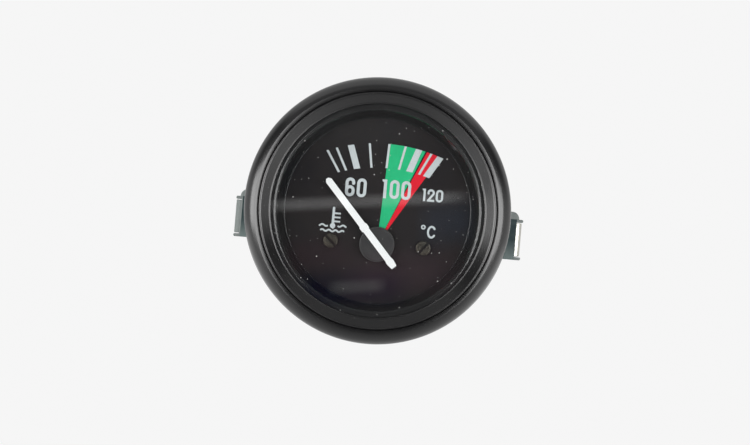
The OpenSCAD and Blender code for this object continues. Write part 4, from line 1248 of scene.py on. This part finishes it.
@dataclass
class Strap:
    """The bent steel strap that clamps the gauge from behind, with its two feet."""

    thickness: float = 1.2
    low: float = -8.5
    high: float = 2.5
    shift: float = 0.5
    leg_x: float = 28.1
    foot_x: float = 32.05
    foot_z: float = -8.1
    base_z: float = -41.9
    bend_radius: float = 1.4
    lip: float = 0.7
    lip_root: float = 0.8
    lip_thinner: float = 0.02
    lip_row: float = 0.3
    lip_left: Lip = Lip(46.0, 0.75)
    lip_right: Lip = Lip(76.0, 0.65)
    tooth: float = 0.95
    tooth_width: float = 0.72
    tooth_gap: float = 0.15
    tooth_round: float = 0.3
    tab: float = 1.7
    tab_step: float = 0.05
    round_share: float = 0.98
    plate_tilt: float = 1.0
    tab_tilt: float = 0.5
    edge: float = 0.14
    edge_row: float = 0.3
    edge_share: float = 0.9
    end_share: float = 0.7
    row_gap: float = 0.004
    least_gap: float = 1e-4
    hole_radius: float = 2.8
    drill: float = 3.0
    foot_depth: float = 1.5
    worn_earlier: float = 0.25
    tab_line: float = 0.02

    def half_line(self) -> np.ndarray:
        """Middle line of the right half in the x-z plane, from its teeth's tips to the middle."""
        b, x = self.bend_radius, self.leg_x
        return np.vstack([
            [(self.foot_x + self.tooth, self.foot_z)],
            arc((x + b, self.foot_z - b), b, 90, 180, 12),
            arc((x - b, self.base_z + b), b, 0, -90, 12),
            [(0.0, self.base_z)],
        ])

    def fold_start(self, lip: Lip) -> float:
        """Where a foot's flat face ends and its lip's fold begins."""
        return self.foot_x - lip.fold * math.tan(math.radians(lip.bend) / 2)

    def lip_line(self, lip: Lip) -> np.ndarray:
        """Middle line of a right lip in the x-z plane, from inside the foot backwards.

        Args:
            lip: Its bend and fold.

        Returns:
            N by 2 array.
        """
        f, start, turn = lip.fold, self.fold_start(lip), math.radians(lip.bend)
        out = np.array([math.cos(turn), -math.sin(turn)])
        return np.vstack([
            [(start - self.lip_root, self.foot_z)],
            arc((start, self.foot_z - f), f, 90, 90 - lip.bend, 12),
            [np.array([self.foot_x, self.foot_z]) + self.lip * out],
        ])

    def end_gap(self, y: np.ndarray, lip: Lip) -> np.ndarray:
        """How far the foot ends short of its teeth's tips at each height.

        The two teeth have rounded tips, between them the foot ends where the lip's fold begins,
        and above them it is a quarter of a circle. Each round is 1 - (1 - 0.98 u^2)^0.5, which
        stops just short of a full quarter, where its slope would have no end.

        Args:
            y: Heights across the strap.
            lip: The lip between the teeth.

        Returns:
            Distances from the tips, in the plane of the foot.
        """
        top, half = self.high - self.tab, self.tooth_width / 2
        middle = np.where(y < (self.low + top) / 2, self.low + half, top - half)
        off = np.abs(y - middle) / half
        tooth = self.tooth_round * (1 - np.sqrt(1 - self.round_share * np.clip(off, 0, 1) ** 2))
        recess = self.foot_x + self.tooth - self.fold_start(lip)
        rise = np.clip((y - top) / self.tab, 0, 1)
        corner = self.tooth + self.tab * (1 - np.sqrt(1 - self.round_share * rise ** 2))
        return np.where(y > top, corner, np.where(off <= 1, tooth, recess))

    def tilted(self, points: np.ndarray) -> np.ndarray:
        """Tilts the feet: each face leans forwards, and its tab above the teeth backwards.

        The depth changes by the distance beyond the leg's bend times the tangent of the tilt.

        Args:
            points: Points with x measured from the middle of the strap.

        Returns:
            The points with their new depths.
        """
        out = np.clip(np.abs(points[..., 0]) - self.leg_x - self.bend_radius, 0, None)
        share = np.clip((points[..., 1] - self.high + self.tab) / self.tab_step, 0, 1)
        slope = (1 - share) * math.tan(math.radians(self.plate_tilt))
        slope = slope - share * math.tan(math.radians(self.tab_tilt))
        return points + np.stack([np.zeros_like(out), np.zeros_like(out), out * slope], axis=-1)

    def sheet(self, line: np.ndarray, heights: np.ndarray, gaps: tuple[np.ndarray, np.ndarray],
              thickness: float) -> Shape:
        """Sweeps a flat section along a middle line.

        A point is line(s) + w n(s) at height y: s is the length along the middle line, n its
        normal and w the distance from the middle of the sheet. The first and last rows keep the
        given gaps from the line's ends. The edges are eased: along them each face loses a share
        of the edge's width, and at both ends another share.

        Args:
            line: Middle line in the x-z plane, straight at both ends.
            heights: Heights across the sheet, rising.
            gaps: Gap at each height from the line's start and from its end.
            thickness: Thickness of the sheet.

        Returns:
            The closed shape.
        """
        run = np.concatenate([[0], np.cumsum(np.linalg.norm(np.diff(line, axis=0), axis=1))])
        e, low, high = self.edge, heights[0], heights[-1]
        within = np.clip(e - np.minimum(heights - low, high - heights), 0, e)
        half = thickness / 2 - within * self.edge_share
        y, w = np.concatenate([heights, heights[::-1]]), np.concatenate([half, -half[::-1]])
        first = np.concatenate([gaps[0], gaps[0][::-1]])
        last = run[-1] - np.concatenate([gaps[1], gaps[1][::-1]])
        inner = run[(run > first.max() + e) & (run < last.min() - e)]
        s = np.vstack([first, first + e, np.repeat(inner[:, None], len(y), axis=1), last - e, last])
        eased = np.ones(len(s))
        eased[[0, -1]] = 1 - 2 * self.end_share * e / thickness
        tangent = np.gradient(line, run, axis=0)
        x, z, tx, tz = (np.interp(s, run, v) for v in (*line.T, *tangent.T))
        size = np.hypot(tx, tz) / (w * eased[:, None])
        points = np.stack([x - tz / size, np.broadcast_to(y, x.shape), z + tx / size], axis=-1)
        points = self.tilted(points) + np.array([self.shift, 0, 0])
        rows, columns = x.shape
        j = np.arange(len(heights) - 1)
        cap = np.column_stack([j, j + 1, columns - 2 - j, columns - 1 - j])
        far = cap[:, ::-1] + (rows - 1) * columns
        faces = grid_quads(rows, columns).tolist() + cap.tolist() + far.tolist()
        return Shape(points.reshape(-1, 3), faces)

    def body(self) -> Shape:
        """The strap from the left teeth to the right teeth.

        Its rows of points are close together at the eased edges and round the teeth and tabs,
        with a pair of rows on both sides of each step in its end.
        """
        half = self.half_line()
        line = np.vstack([half[:-1] * [-1, 1], half[::-1]])
        e, top, w, step = self.edge, self.high - self.tab, self.tooth_width, self.row_gap
        eased = e * self.edge_row
        heights = np.unique(np.concatenate([
            [self.low, self.low + eased, self.low + e, self.high - eased, self.high],
            np.linspace(self.low, self.low + w, 11), np.linspace(top - w, top, 11),
            np.linspace(self.low + w + step, top - w - step, 24),
            [top + step, top + self.tab_step],
            top + self.tab * np.sin(np.linspace(self.tab_step, math.pi / 2, 14))]))
        heights = heights[np.concatenate([[True], np.diff(heights) > self.least_gap])]
        gaps = self.end_gap(heights, self.lip_left), self.end_gap(heights, self.lip_right)
        return self.sheet(line, heights, gaps, self.thickness)

    def lip_sheet(self, lip: Lip, side: float) -> Shape:
        """The lip between a foot's teeth, bent back, a little thinner than the strap it joins.

        Args:
            lip: Its bend and fold.
            side: -1 for the left foot or 1 for the right.

        Returns:
            The closed shape.
        """
        start = self.low + self.tooth_width + self.tooth_gap
        end = self.high - self.tab - self.tooth_width - self.tooth_gap
        e, eased = self.edge, self.edge * self.edge_row
        heights = np.concatenate([
            [start, start + eased, start + e],
            np.linspace(start + self.lip_row, end - self.lip_row, 12),
            [end - e, end - eased, end]])
        none = np.zeros(len(heights))
        line = self.lip_line(lip) * [side, 1]
        thickness = self.thickness - self.lip_thinner
        return self.sheet(line if side > 0 else line[::-1], heights, (none, none), thickness)

    def build(self) -> None:
        """Builds the strap, adds its lips, drills its two holes and dresses it."""
        strap = bare_piece("clamp_strap", self.body())
        combine(strap, [self.lip_sheet(self.lip_left, -1), self.lip_sheet(self.lip_right, 1)], "UNION")
        holes = [plug(circle((x + self.shift, y), self.hole_radius, steps=64),
                      self.base_z - self.drill, self.base_z + self.drill) for x, y in STUDS_AT]
        combine(strap, holes)
        smooth(strap, degrees=35, flats=True)
        left = self.fold_start(self.lip_left) - self.worn_earlier
        right = self.fold_start(self.lip_right)
        score(strap, [self.shift - left, self.shift + right])
        dress(strap, Body.BRACKET, ZINC, "mounting_bracket")
        x, y, z = face_centres(strap).T
        x, top = x - self.shift, self.high - self.tab
        foot = (z > self.foot_z - self.foot_depth) & (np.abs(x) > self.leg_x)
        outer = foot & ((x < -left) | (x > right))
        teeth = (y > top - self.tooth_width) | (y < self.low + self.tooth_width)
        # Painted shade: the feet's faces darken towards the bezel
        refinish(strap, ZINC_PAINTED_SHADE, foot & ~outer)
        refinish(strap, ZINC_WORN, outer | (foot & (y > top + self.tab_line)))
        # Painted highlight: the right lip, but not its teeth, takes the bright zinc
        refinish(strap, ZINC_BRIGHT_AND_LIP_HIGHLIGHT, outer & (x > 0) & ~teeth)


@dataclass
class Fasteners:
    """Studs, collar nuts, split washers and the two knurled thumb nuts."""

    stud_radius: float = 2.0
    pitch: float = 0.7
    turn_rows: int = 10
    thread_depth: float = 0.40
    thread_flank: float = 0.8
    thread_fade: float = 0.5
    lead: float = 0.6
    lead_drop: float = 0.35
    end_drop: float = 0.5
    stud_end: float = -52.5
    stud_front: float = -28.0
    thread_front: float = -36.2
    collar_across: float = 7.0
    collar_back: float = -36.0
    collar_front: float = -34.0
    collar_play: float = 0.05
    collar_rows: tuple[float, ...] = (0.12, 0.3, 0.5)
    collar_drop: float = 0.1
    collar_slope: float = 1.8
    washer_inner: float = 2.2
    washer_outer: float = 3.8
    washer_back: float = -43.5
    washer_front: float = -42.5
    washer_gap: float = 0.5
    washer_turn: float = 60.0
    washer_rise: float = 0.06
    washer_round: float = 0.15
    nut_radius: float = 5.0
    nut_back: float = -48.0
    nut_front: float = -43.5
    nut_shoulder: float = 1.2
    nut_bore: float = 2.08
    nut_chamfer: float = 0.2
    nut_rear: tuple[Point, ...] = ((-1.3, 0.0), (-0.75, 0.08), (-0.35, 0.2))
    nut_rows: int = 10
    nut_flank: float = 0.35
    nut_step: tuple[Point, ...] = ((-0.35, -0.15), (-0.8, 0.0), (-1.02, 0.0), (-1.0, 0.05))
    nut_face: tuple[Point, ...] = ((-1.0, -0.15), (-1.15, 0.0))
    knurl_teeth: int = 30
    knurl_depth: float = 0.35
    knurl_rise: float = 1.5
    knurl_land: float = 0.35
    knurl_within: float = 0.4

    def stud(self, at: Point) -> Shape:
        """One stud: its radius falls and rises along a helix of the thread's pitch.

        The radius is crest - depth |2 f - 1|^0.8, where f is the fraction of a turn left over
        from depth / pitch - angle / turn, fading out at the end and at the plain front part.

        Args:
            at: Its axis.

        Returns:
            The closed shape.
        """
        z = np.concatenate([np.arange(self.stud_end, self.thread_front, self.pitch / self.turn_rows),
                            [self.thread_front, self.stud_front]])
        profile = np.column_stack([np.full(len(z), self.stud_radius), z])
        profile[0, 0] = self.stud_radius - self.end_drop
        profile = np.vstack([[(0, self.stud_end)], profile, [(0, self.stud_front)]])

        def thread(r: np.ndarray, depth: np.ndarray, a: np.ndarray) -> np.ndarray:
            """Radius of the threaded part from radius, depth and angle."""
            f = np.mod(depth / self.pitch - a / TURN, 1.0)
            fade = np.clip((self.thread_front - depth) / self.thread_fade, 0, 1)
            start = np.clip((depth - self.stud_end) / self.lead, 0, 1)
            groove = self.thread_depth * np.abs(2 * f - 1) ** self.thread_flank
            return np.minimum(r, self.stud_radius - groove * fade) - self.lead_drop * (1 - start)

        return revolve(profile, columns=36, at=at, swell=thread)

    def collar(self, at: Point) -> Shape:
        """One hexagon nut: each row is a hexagon cut by the cone of its chamfer.

        Args:
            at: Its axis.

        Returns:
            The closed shape.
        """
        half, z0, z1 = self.collar_across / 2, self.collar_back, self.collar_front
        top, chamfered = half / math.cos(math.pi / 6), half - self.collar_drop
        bore = self.stud_radius + self.collar_play
        z = [z0 + rise for rise in self.collar_rows] + [z1 - self.collar_rows[1], z1]
        profile = np.array([(bore, z0), (chamfered, z0)] + [(top, v) for v in z] + [(bore, z1)])

        def hexagon(r: np.ndarray, depth: np.ndarray, a: np.ndarray) -> np.ndarray:
            """Radius of the hexagon at an angle, or of the chamfer's cone if that is less."""
            side = np.mod(a, math.pi / 3) - math.pi / 6
            cone = chamfered + (depth - z0) * self.collar_slope
            outer = r > bore + self.collar_drop
            return np.where(outer, np.minimum(np.minimum(half / np.cos(side), cone), r), r)

        return revolve(profile, columns=144, at=at, swell=hexagon)

    def washer(self, at: Point) -> Shape:
        """One split washer: a square section carried round most of a turn, rising slightly.

        Args:
            at: Its axis.

        Returns:
            The closed shape.
        """
        mid, half_w = (self.washer_inner + self.washer_outer) / 2, (self.washer_outer - self.washer_inner) / 2
        rise = self.washer_rise
        half_t = (self.washer_front - self.washer_back) / 2 - rise
        gap = math.degrees(self.washer_gap / mid)
        a = np.radians(np.linspace(self.washer_turn + gap / 2, self.washer_turn + 360 - gap / 2, 97))
        depth = np.linspace(-rise, rise, len(a)) + (self.washer_front + self.washer_back) / 2
        section = rounded([(-half_w, -half_t), (half_w, -half_t), (half_w, half_t), (-half_w, half_t)],
                          self.washer_round, 3, closed=True)
        r = mid + section[:, 0][None, :]
        points = np.stack([at[0] + r * np.cos(a)[:, None], at[1] + r * np.sin(a)[:, None],
                           depth[:, None] + section[:, 1][None, :]], axis=-1)
        faces = grid_quads(len(a), len(section)).tolist() + end_caps(len(a), len(section))
        return Shape(points.reshape(-1, 3), faces)

    def thumb_nut(self, at: Point) -> Shape:
        """One thumb nut: its rim dips between the teeth, and fades to round at its chamfers.

        The points of its rear, step and face are measured from the rim's radius and from the
        depths of the rear face, the shoulder and the front face.

        Args:
            at: Its axis.

        Returns:
            The closed shape.
        """
        r, z0, z1 = self.nut_radius, self.nut_back, self.nut_front
        step, bore, c = z1 - self.nut_shoulder, self.nut_bore, self.nut_chamfer
        z = np.linspace(z0 + self.nut_flank, step - self.nut_flank, self.nut_rows)
        profile = np.vstack([
            [(bore, z0 + c), (bore + c, z0)], np.array(self.nut_rear) + (r, z0),
            np.column_stack([np.full(self.nut_rows, r), z]),
            np.array(self.nut_step) + (r, step), np.array(self.nut_face) + (r, z1),
            [(bore + c, z1), (bore, z1 - c)]])

        def knurl(radius: np.ndarray, depth: np.ndarray, a: np.ndarray) -> np.ndarray:
            """Radius with the teeth's grooves taken off where the rim is full."""
            tooth = np.abs(np.mod(a * self.knurl_teeth / TURN, 1.0) * 2 - 1)
            groove = self.knurl_depth * np.clip(tooth * self.knurl_rise - self.knurl_land, 0, 1)
            return np.where(radius > r - self.knurl_within, np.minimum(radius, r - groove), radius)

        return revolve(profile, columns=self.knurl_teeth * 12, at=at, swell=knurl)

    def build(self) -> None:
        """Builds and dresses all of them."""
        for name, node, body, one, sharp in (
            ("stud_pair", "bracket_studs", Body.GAUGE, self.stud, 50),
            ("collar_nut_pair", "collar_nuts", Body.GAUGE, self.collar, 25),
            ("split_washer_pair", "spring_washers", Body.BRACKET, self.washer, 40),
        ):
            left, right = (one(at) for at in STUDS_AT)
            make(name, left.plus(right), node, body, ZINC_BRIGHT_AND_LIP_HIGHLIGHT, sharp)
        for at, body, side in zip(STUDS_AT, (Body.NUT_LEFT, Body.NUT_RIGHT), ("left", "right")):
            make(f"knurled_nut_{side}", self.thumb_nut(at), f"thumb_nut_{side}", body, ZINC_BRIGHT_AND_LIP_HIGHLIGHT, sharp=30)


@dataclass
class RearFittings:
    """Terminals, their insulators and the pull-out lamp holder."""

    eased: float = 0.08
    tube_radius: float = 4.9
    wall: float = 0.4
    tube_front: float = -22.0
    seat: float = -34.05
    flange_radius: float = 6.8
    flange_thickness: float = 1.0
    body_radius: float = 5.5
    body_rear: float = -41.05
    shell_round: float = 0.18
    rolled: tuple[Point, ...] = ((0.0, 2.2), (-0.25, 1.9), (-0.25, 1.3), (0.0, 1.0), (0.0, 0.0))

    def shell(self) -> None:
        """Builds the lamp holder's metal shell: tube, flange, and body with its rolled groove.

        The groove's points are measured from the body's radius and from its rear end.
        """
        r, b, z = self.tube_radius, self.body_radius, self.seat
        back, rear, bore = z - self.flange_thickness, self.body_rear, self.tube_radius - self.wall
        profile = rounded(
            [(bore, self.tube_front), (r, self.tube_front), (r, z), (self.flange_radius, z),
             (self.flange_radius, back), (b, back), *((b + x, rear + y) for x, y in self.rolled),
             (bore, rear)], self.shell_round, 5, closed=True)
        make("lamp_holder_shell", revolve(profile, columns=160, at=LAMP_AT), "lamp_shell", Body.LAMP,
             STEEL, sharp=40)

    def build(self) -> None:
        """Builds the shell and eases the edges of the pressed and moulded pieces."""
        self.shell()
        for body, finish, nodes in (
            (Body.GAUGE, TERMINAL_TIN, ("supply_terminal", "sender_terminal", "ground_terminal")),
            (Body.GAUGE, LAMINATE, ("terminal_insulators", "terminal_board")),
            (Body.LAMP, TERMINAL_TIN, ("lamp_contact",)),
            (Body.LAMP, LAMINATE, ("lamp_insulator",)),
        ):
            for node in nodes:
                dress(softened(node, self.eased), body, finish, node)


# Stage


@dataclass(frozen=True)
class SoftLight:
    """A large lamp that faces the gauge."""

    name: str
    azimuth: float
    elevation: float
    distance: float
    size: tuple[float, float]
    radiance: float

    def place(self) -> None:
        """Adds the lamp, turned to the frame's origin. Its power is radiance times pi times area."""
        lamp = bpy.data.lights.new(self.name, "AREA")
        lamp.shape, lamp.size, lamp.size_y = "RECTANGLE", *self.size
        lamp.energy = self.radiance * math.pi * self.size[0] * self.size[1]
        a, e = math.radians(self.azimuth), math.radians(self.elevation)
        back = np.array([math.sin(a) * math.cos(e), -math.cos(a) * math.cos(e), math.sin(e)])
        holder = linked(self.name, lamp)
        holder.location = back * self.distance
        flat = math.hypot(back[0], back[1])
        holder.rotation_euler = (math.atan2(flat, back[2]), 0.0, math.atan2(back[0], -back[1]))
        holder.visible_camera = False


@dataclass(frozen=True)
class Glint:
    """A soft patch that the glass mirrors: middle and half size in the photograph's pixels.

    Sharp is how quickly it fades at its left and right ends, and its colour may take light away.
    """

    at: Point
    half: Point
    sharp: float
    colour: Colour


def flat_face(name: str, outline: Sequence[Sequence[float]]) -> tuple[bpy.types.Object, Bench]:
    """Makes one flat face with a material of its own.

    Args:
        name: Name of the object, its mesh and its material.
        outline: Its corners in the frame, in metres.

    Returns:
        The object, and a bench for its material's emptied nodes.
    """
    mesh = bpy.data.meshes.new(name)
    mesh.from_pydata(outline, [], [list(range(len(outline)))])
    mesh.materials.append(bpy.data.materials.new(name))
    return linked(name, mesh), cleared(mesh.materials[0])


@dataclass
class Studio:
    """Floor, surroundings, lamps and the camera of the photograph.

    A pair named after a change, such as floor_fade, is where that change starts and ends.
    """

    floor_z: float = -0.075
    floor_radius: float = 0.40
    floor_grey: float = 0.84
    floor_roughness: float = 0.8
    floor_fade: Point = (0.06, 0.19)
    floor_least: float = 0.6
    mirror_near: Point = (-0.08, 0.02)
    mirror_level: Point = (0.15, 0.75)
    mirror_side: Point = (0.02, 0.12)
    mirror_more: float = 0.6
    white: float = 0.92
    backing: float = 0.65
    dim: float = 0.10
    flank: float = 0.75
    ambient: float = 0.30
    aside: Point = (-0.80, -0.35)
    sky_skew: float = 0.9
    sky: Point = (-0.15, 0.15)
    horizon: Point = (0.12, 0.38)
    behind: Point = (-0.05, 0.35)
    photo: tuple[int, int] = (750, 445)
    centre_px: Point = (377.55, 210.81)
    radius_px: float = 133.65
    bezel_radius: float = 0.030
    bezel_plane: float = -0.003
    camera_distance: float = 0.5
    sensor: float = 36.0
    clip: tuple[float, float] = (0.01, 50.0)
    roll: float = 4.9
    card_at: Point = (0.045, 0.036)
    card_depth: tuple[float, float] = (-0.0115, -0.036)
    card_level: float = 0.28
    glint_rise: float = 0.046
    glints: tuple[Glint, ...] = (
        Glint((366.0, 201.3), (105.0, 9.2), 2.4, (0.78, 0.78, 0.78)),
        Glint((357.0, 286.5), (31.0, 10.0), 1.4, (0.33, 0.35, 0.31)),
        Glint((352.0, 288.0), (62.0, 28.0), 1.5, (-0.12, -0.11, -0.04)),
        Glint((402.0, 272.0), (66.0, 34.0), 1.2, (0.13, 0.05, 0.08)),
        Glint((318.0, 255.0), (38.0, 26.0), 1.2, (0.06, 0.00, 0.02)),
        Glint((446.0, 222.0), (32.0, 34.0), 1.2, (0.02, 0.07, 0.14)),
        Glint((366.0, 132.0), (60.0, 26.0), 1.2, (0.05, 0.06, 0.06)),
        Glint((298.0, 178.0), (26.0, 40.0), 1.2, (-0.05, -0.04, -0.03)),
    )
    lamps: tuple[SoftLight, ...] = (
        SoftLight("left", -41.5, -1, 0.9, (1.01, 0.44), 4.9),
        SoftLight("right", 34, -1, 0.9, (0.76, 0.44), 4.8),
    )

    def camera(self) -> None:
        """Adds the camera, straight in front of the dial and rolled as in the photograph.

        Its focal length makes the bezel's radius as many pixels as in the photograph, and its
        place puts the bezel's centre at the photograph's pixel.
        """
        width, height = self.photo
        pixel = self.bezel_radius / self.radius_px
        right_px, up_px = self.centre_px[0] - width / 2, height / 2 - self.centre_px[1]
        a = math.radians(self.roll)
        right, up = np.array([math.cos(a), 0, math.sin(a)]), np.array([-math.sin(a), 0, math.cos(a)])
        place = np.array([0, self.bezel_plane - self.camera_distance, 0])
        place = place - right * right_px * pixel - up * up_px * pixel
        data = bpy.data.cameras.new("camera")
        data.sensor_width = self.sensor
        data.lens = data.sensor_width * self.camera_distance / (pixel * width)
        data.clip_start, data.clip_end = self.clip
        camera = linked("camera", data)
        back = np.array([0.0, -1.0, 0.0])
        turn = Matrix(np.column_stack([right, up, back]).tolist()).to_4x4()
        camera.matrix_world = Matrix.Translation(place.tolist()) @ turn
        bpy.context.scene.camera = camera

    def floor(self) -> None:
        """Adds the pale floor, which fades into the white surroundings away from the gauge.

        Mirror-like rays meet a glow instead of the paper: dim well before the gauge, and brighter
        behind it and to both sides.
        """
        ring = circle((0, 0), self.floor_radius, steps=64)
        floor, bench = flat_face("floor", [(x, y, self.floor_z) for x, y in ring.tolist()])
        at = bench.add("ShaderNodeTexCoord").outputs["Object"]
        away = bench.add("ShaderNodeVectorMath", {0: at}, operation="LENGTH").outputs["Value"]
        fade = bench.remap(away, *self.floor_fade, self.floor_least, 1.0)
        paper = bench.add("ShaderNodeBsdfPrincipled", {
            "Base Color": rgba((self.floor_grey,) * 3), "Roughness": self.floor_roughness}).outputs[0]
        place = bench.add("ShaderNodeSeparateXYZ", {0: at}).outputs
        near = bench.remap(place["Y"], *self.mirror_near, *self.mirror_level)
        across = bench.math("ABSOLUTE", place["X"])
        side = bench.remap(across, *self.mirror_side, 0.0, self.mirror_more)
        path = bench.add("ShaderNodeLightPath").outputs
        seen, mirrored = path["Is Camera Ray"], path["Is Glossy Ray"]
        level = bench.add("ShaderNodeMix", {0: mirrored, 2: self.white, 3: bench.plus(near, side)})
        glow = bench.add("ShaderNodeEmission", {0: rgba((1.0,) * 3), 1: level.outputs[0]}).outputs[0]
        share = bench.math("MAXIMUM", bench.times(fade, seen), mirrored)
        bench.surface(bench.blend(share, paper, glow))

    def card(self) -> None:
        """Adds the dim card above the gauge that only the bezel's lower inner band mirrors."""
        (x, z), (back, front) = self.card_at, self.card_depth
        card, bench = flat_face("card", [(-x, back, z), (x, back, z), (x, front, z), (-x, front, z)])
        unseen = bench.add("ShaderNodeBsdfTransparent").outputs[0]
        glow = bench.add("ShaderNodeEmission", {0: rgba((self.card_level,) * 3), 1: 1.0}).outputs[0]
        mirrored = bench.add("ShaderNodeLightPath").outputs["Is Glossy Ray"]
        bench.surface(bench.blend(mirrored, unseen, glow))

    def patch(self, bench: Bench, way: bpy.types.NodeOutputs, glint: Glint) -> Socket:
        """Makes one soft-edged patch that the flat glass mirrors to the camera.

        A patch at a pixel of the photograph lies in the mirrored direction of the ray through
        that pixel: its slope to the right and up is the pixel's distance from the middle of the
        image, over the focal length in pixels. It is the product of (1 - column^2) times its
        sharpness and (1 - row^2)^2, with column and row as shares of the half size.

        Args:
            bench: The world's nodes.
            way: Direction of the ray, as x, y and z.
            glint: The patch.

        Returns:
            Its share in the ray's direction, from 0 to 1.
        """
        a = math.radians(self.roll)
        focal = self.camera_distance / (self.bezel_radius / self.radius_px)
        x, z = way["X"], way["Z"]
        right = bench.plus(bench.times(x, math.cos(a)), bench.times(z, math.sin(a)))
        up = bench.minus(bench.times(z, math.cos(a)), bench.times(x, math.sin(a)))
        column = bench.plus(bench.times(right, focal), self.photo[0] / 2 - glint.at[0])
        row = bench.plus(bench.times(up, focal), glint.at[1] - self.photo[1] / 2)
        row = bench.minus(row, bench.times(column, self.glint_rise))
        across, rise = (bench.math("DIVIDE", v, half) for v, half in zip((column, row), glint.half))
        ends = bench.times(bench.minus(1.0, bench.times(across, across)), glint.sharp, clamp=True)
        hill = bench.math("POWER", bench.minus(1.0, bench.times(rise, rise), clamp=True), 2.0)
        front = bench.math("LESS_THAN", way["Y"], 0.0)
        return bench.times(bench.times(ends, hill), front)

    def surroundings(self) -> None:
        """Sets the world: white to the camera, and an even dim light on matt surfaces.

        A reflection finds it dark in front of the dial, brighter well to the side or behind, and
        dark again above the left and right ends of the horizon, as the photograph's bezel shows.
        """
        world = bpy.data.worlds.new("surroundings")
        bench = cleared(world)
        seen_from = bench.add("ShaderNodeTexCoord").outputs["Generated"]
        way = bench.add("ShaderNodeSeparateXYZ", {0: seen_from}).outputs
        aside = bench.remap(way["Y"], *self.aside, 0.0, 1.0)
        across = bench.math("ABSOLUTE", way["X"])
        high = bench.minus(way["Z"], bench.times(across, self.sky_skew))
        open_sky = bench.math("MAXIMUM", bench.remap(high, *self.sky, 0.0, 1.0),
                              bench.remap(way["Z"], *self.horizon, 1.0, 0.0))
        behind = bench.remap(way["Y"], *self.behind, 0.0, 1.0)
        flank = bench.times(bench.times(aside, open_sky), self.flank)
        level = bench.math("MAXIMUM", flank, bench.remap(behind, 0.0, 1.0, self.dim, self.backing))
        mirrored = bench.grey(level)
        for glint in self.glints:
            patch = bench.grey(self.patch(bench, way, glint))
            mirrored = bench.vector("MULTIPLY_ADD", glint.colour, patch, mirrored)
        mirrored = bench.vector("MAXIMUM", mirrored, (0.0, 0.0, 0.0))
        path = bench.add("ShaderNodeLightPath").outputs
        shiny = bench.math("MAXIMUM", path["Is Glossy Ray"], path["Is Transmission Ray"])
        other = bench.mix(shiny, rgba((self.ambient,) * 3), mirrored)
        seen = bench.mix(path["Is Camera Ray"], other, rgba((self.white,) * 3))
        glow = bench.add("ShaderNodeBackground", {0: seen, 1: 1.0})
        bench.add("ShaderNodeOutputWorld", {"Surface": glow.outputs[0]})
        bpy.context.scene.world = world

    def build(self) -> None:
        """Sets up the whole stage, seen without any change of tone."""
        self.camera()
        self.floor()
        self.card()
        self.surroundings()
        for lamp in self.lamps:
            lamp.place()
        bpy.context.scene.view_settings.view_transform = "Standard"


def dress_kept_nodes() -> None:
    """Gives each CAD node that keeps its shape the finish of its material."""
    for name, finish in KEPT_NODES.items():
        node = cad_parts[name]
        node.data.materials.clear()
        node.data.materials.append(finish.material())
        LOG.info("%s: kept, %s", name, finish.slot)


def corners(box: tuple) -> list[list[float]]:
    """Returns a box's two corners as plain lists."""
    return [list(box[0]), list(box[1])]


def main() -> None:
    """Finishes the kept nodes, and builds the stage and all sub-assemblies."""
    logging.basicConfig(level=logging.INFO, format="%(name)s %(message)s")
    dress_kept_nodes()
    for assembly in (Studio(), Case(), Bezel(), Front(), DialScrews(), Pointer(), Strap(), Fasteners(),
                     RearFittings()):
        LOG.info("building %s", type(assembly).__name__)
        assembly.build()


if __name__ == "__main__":
    main()
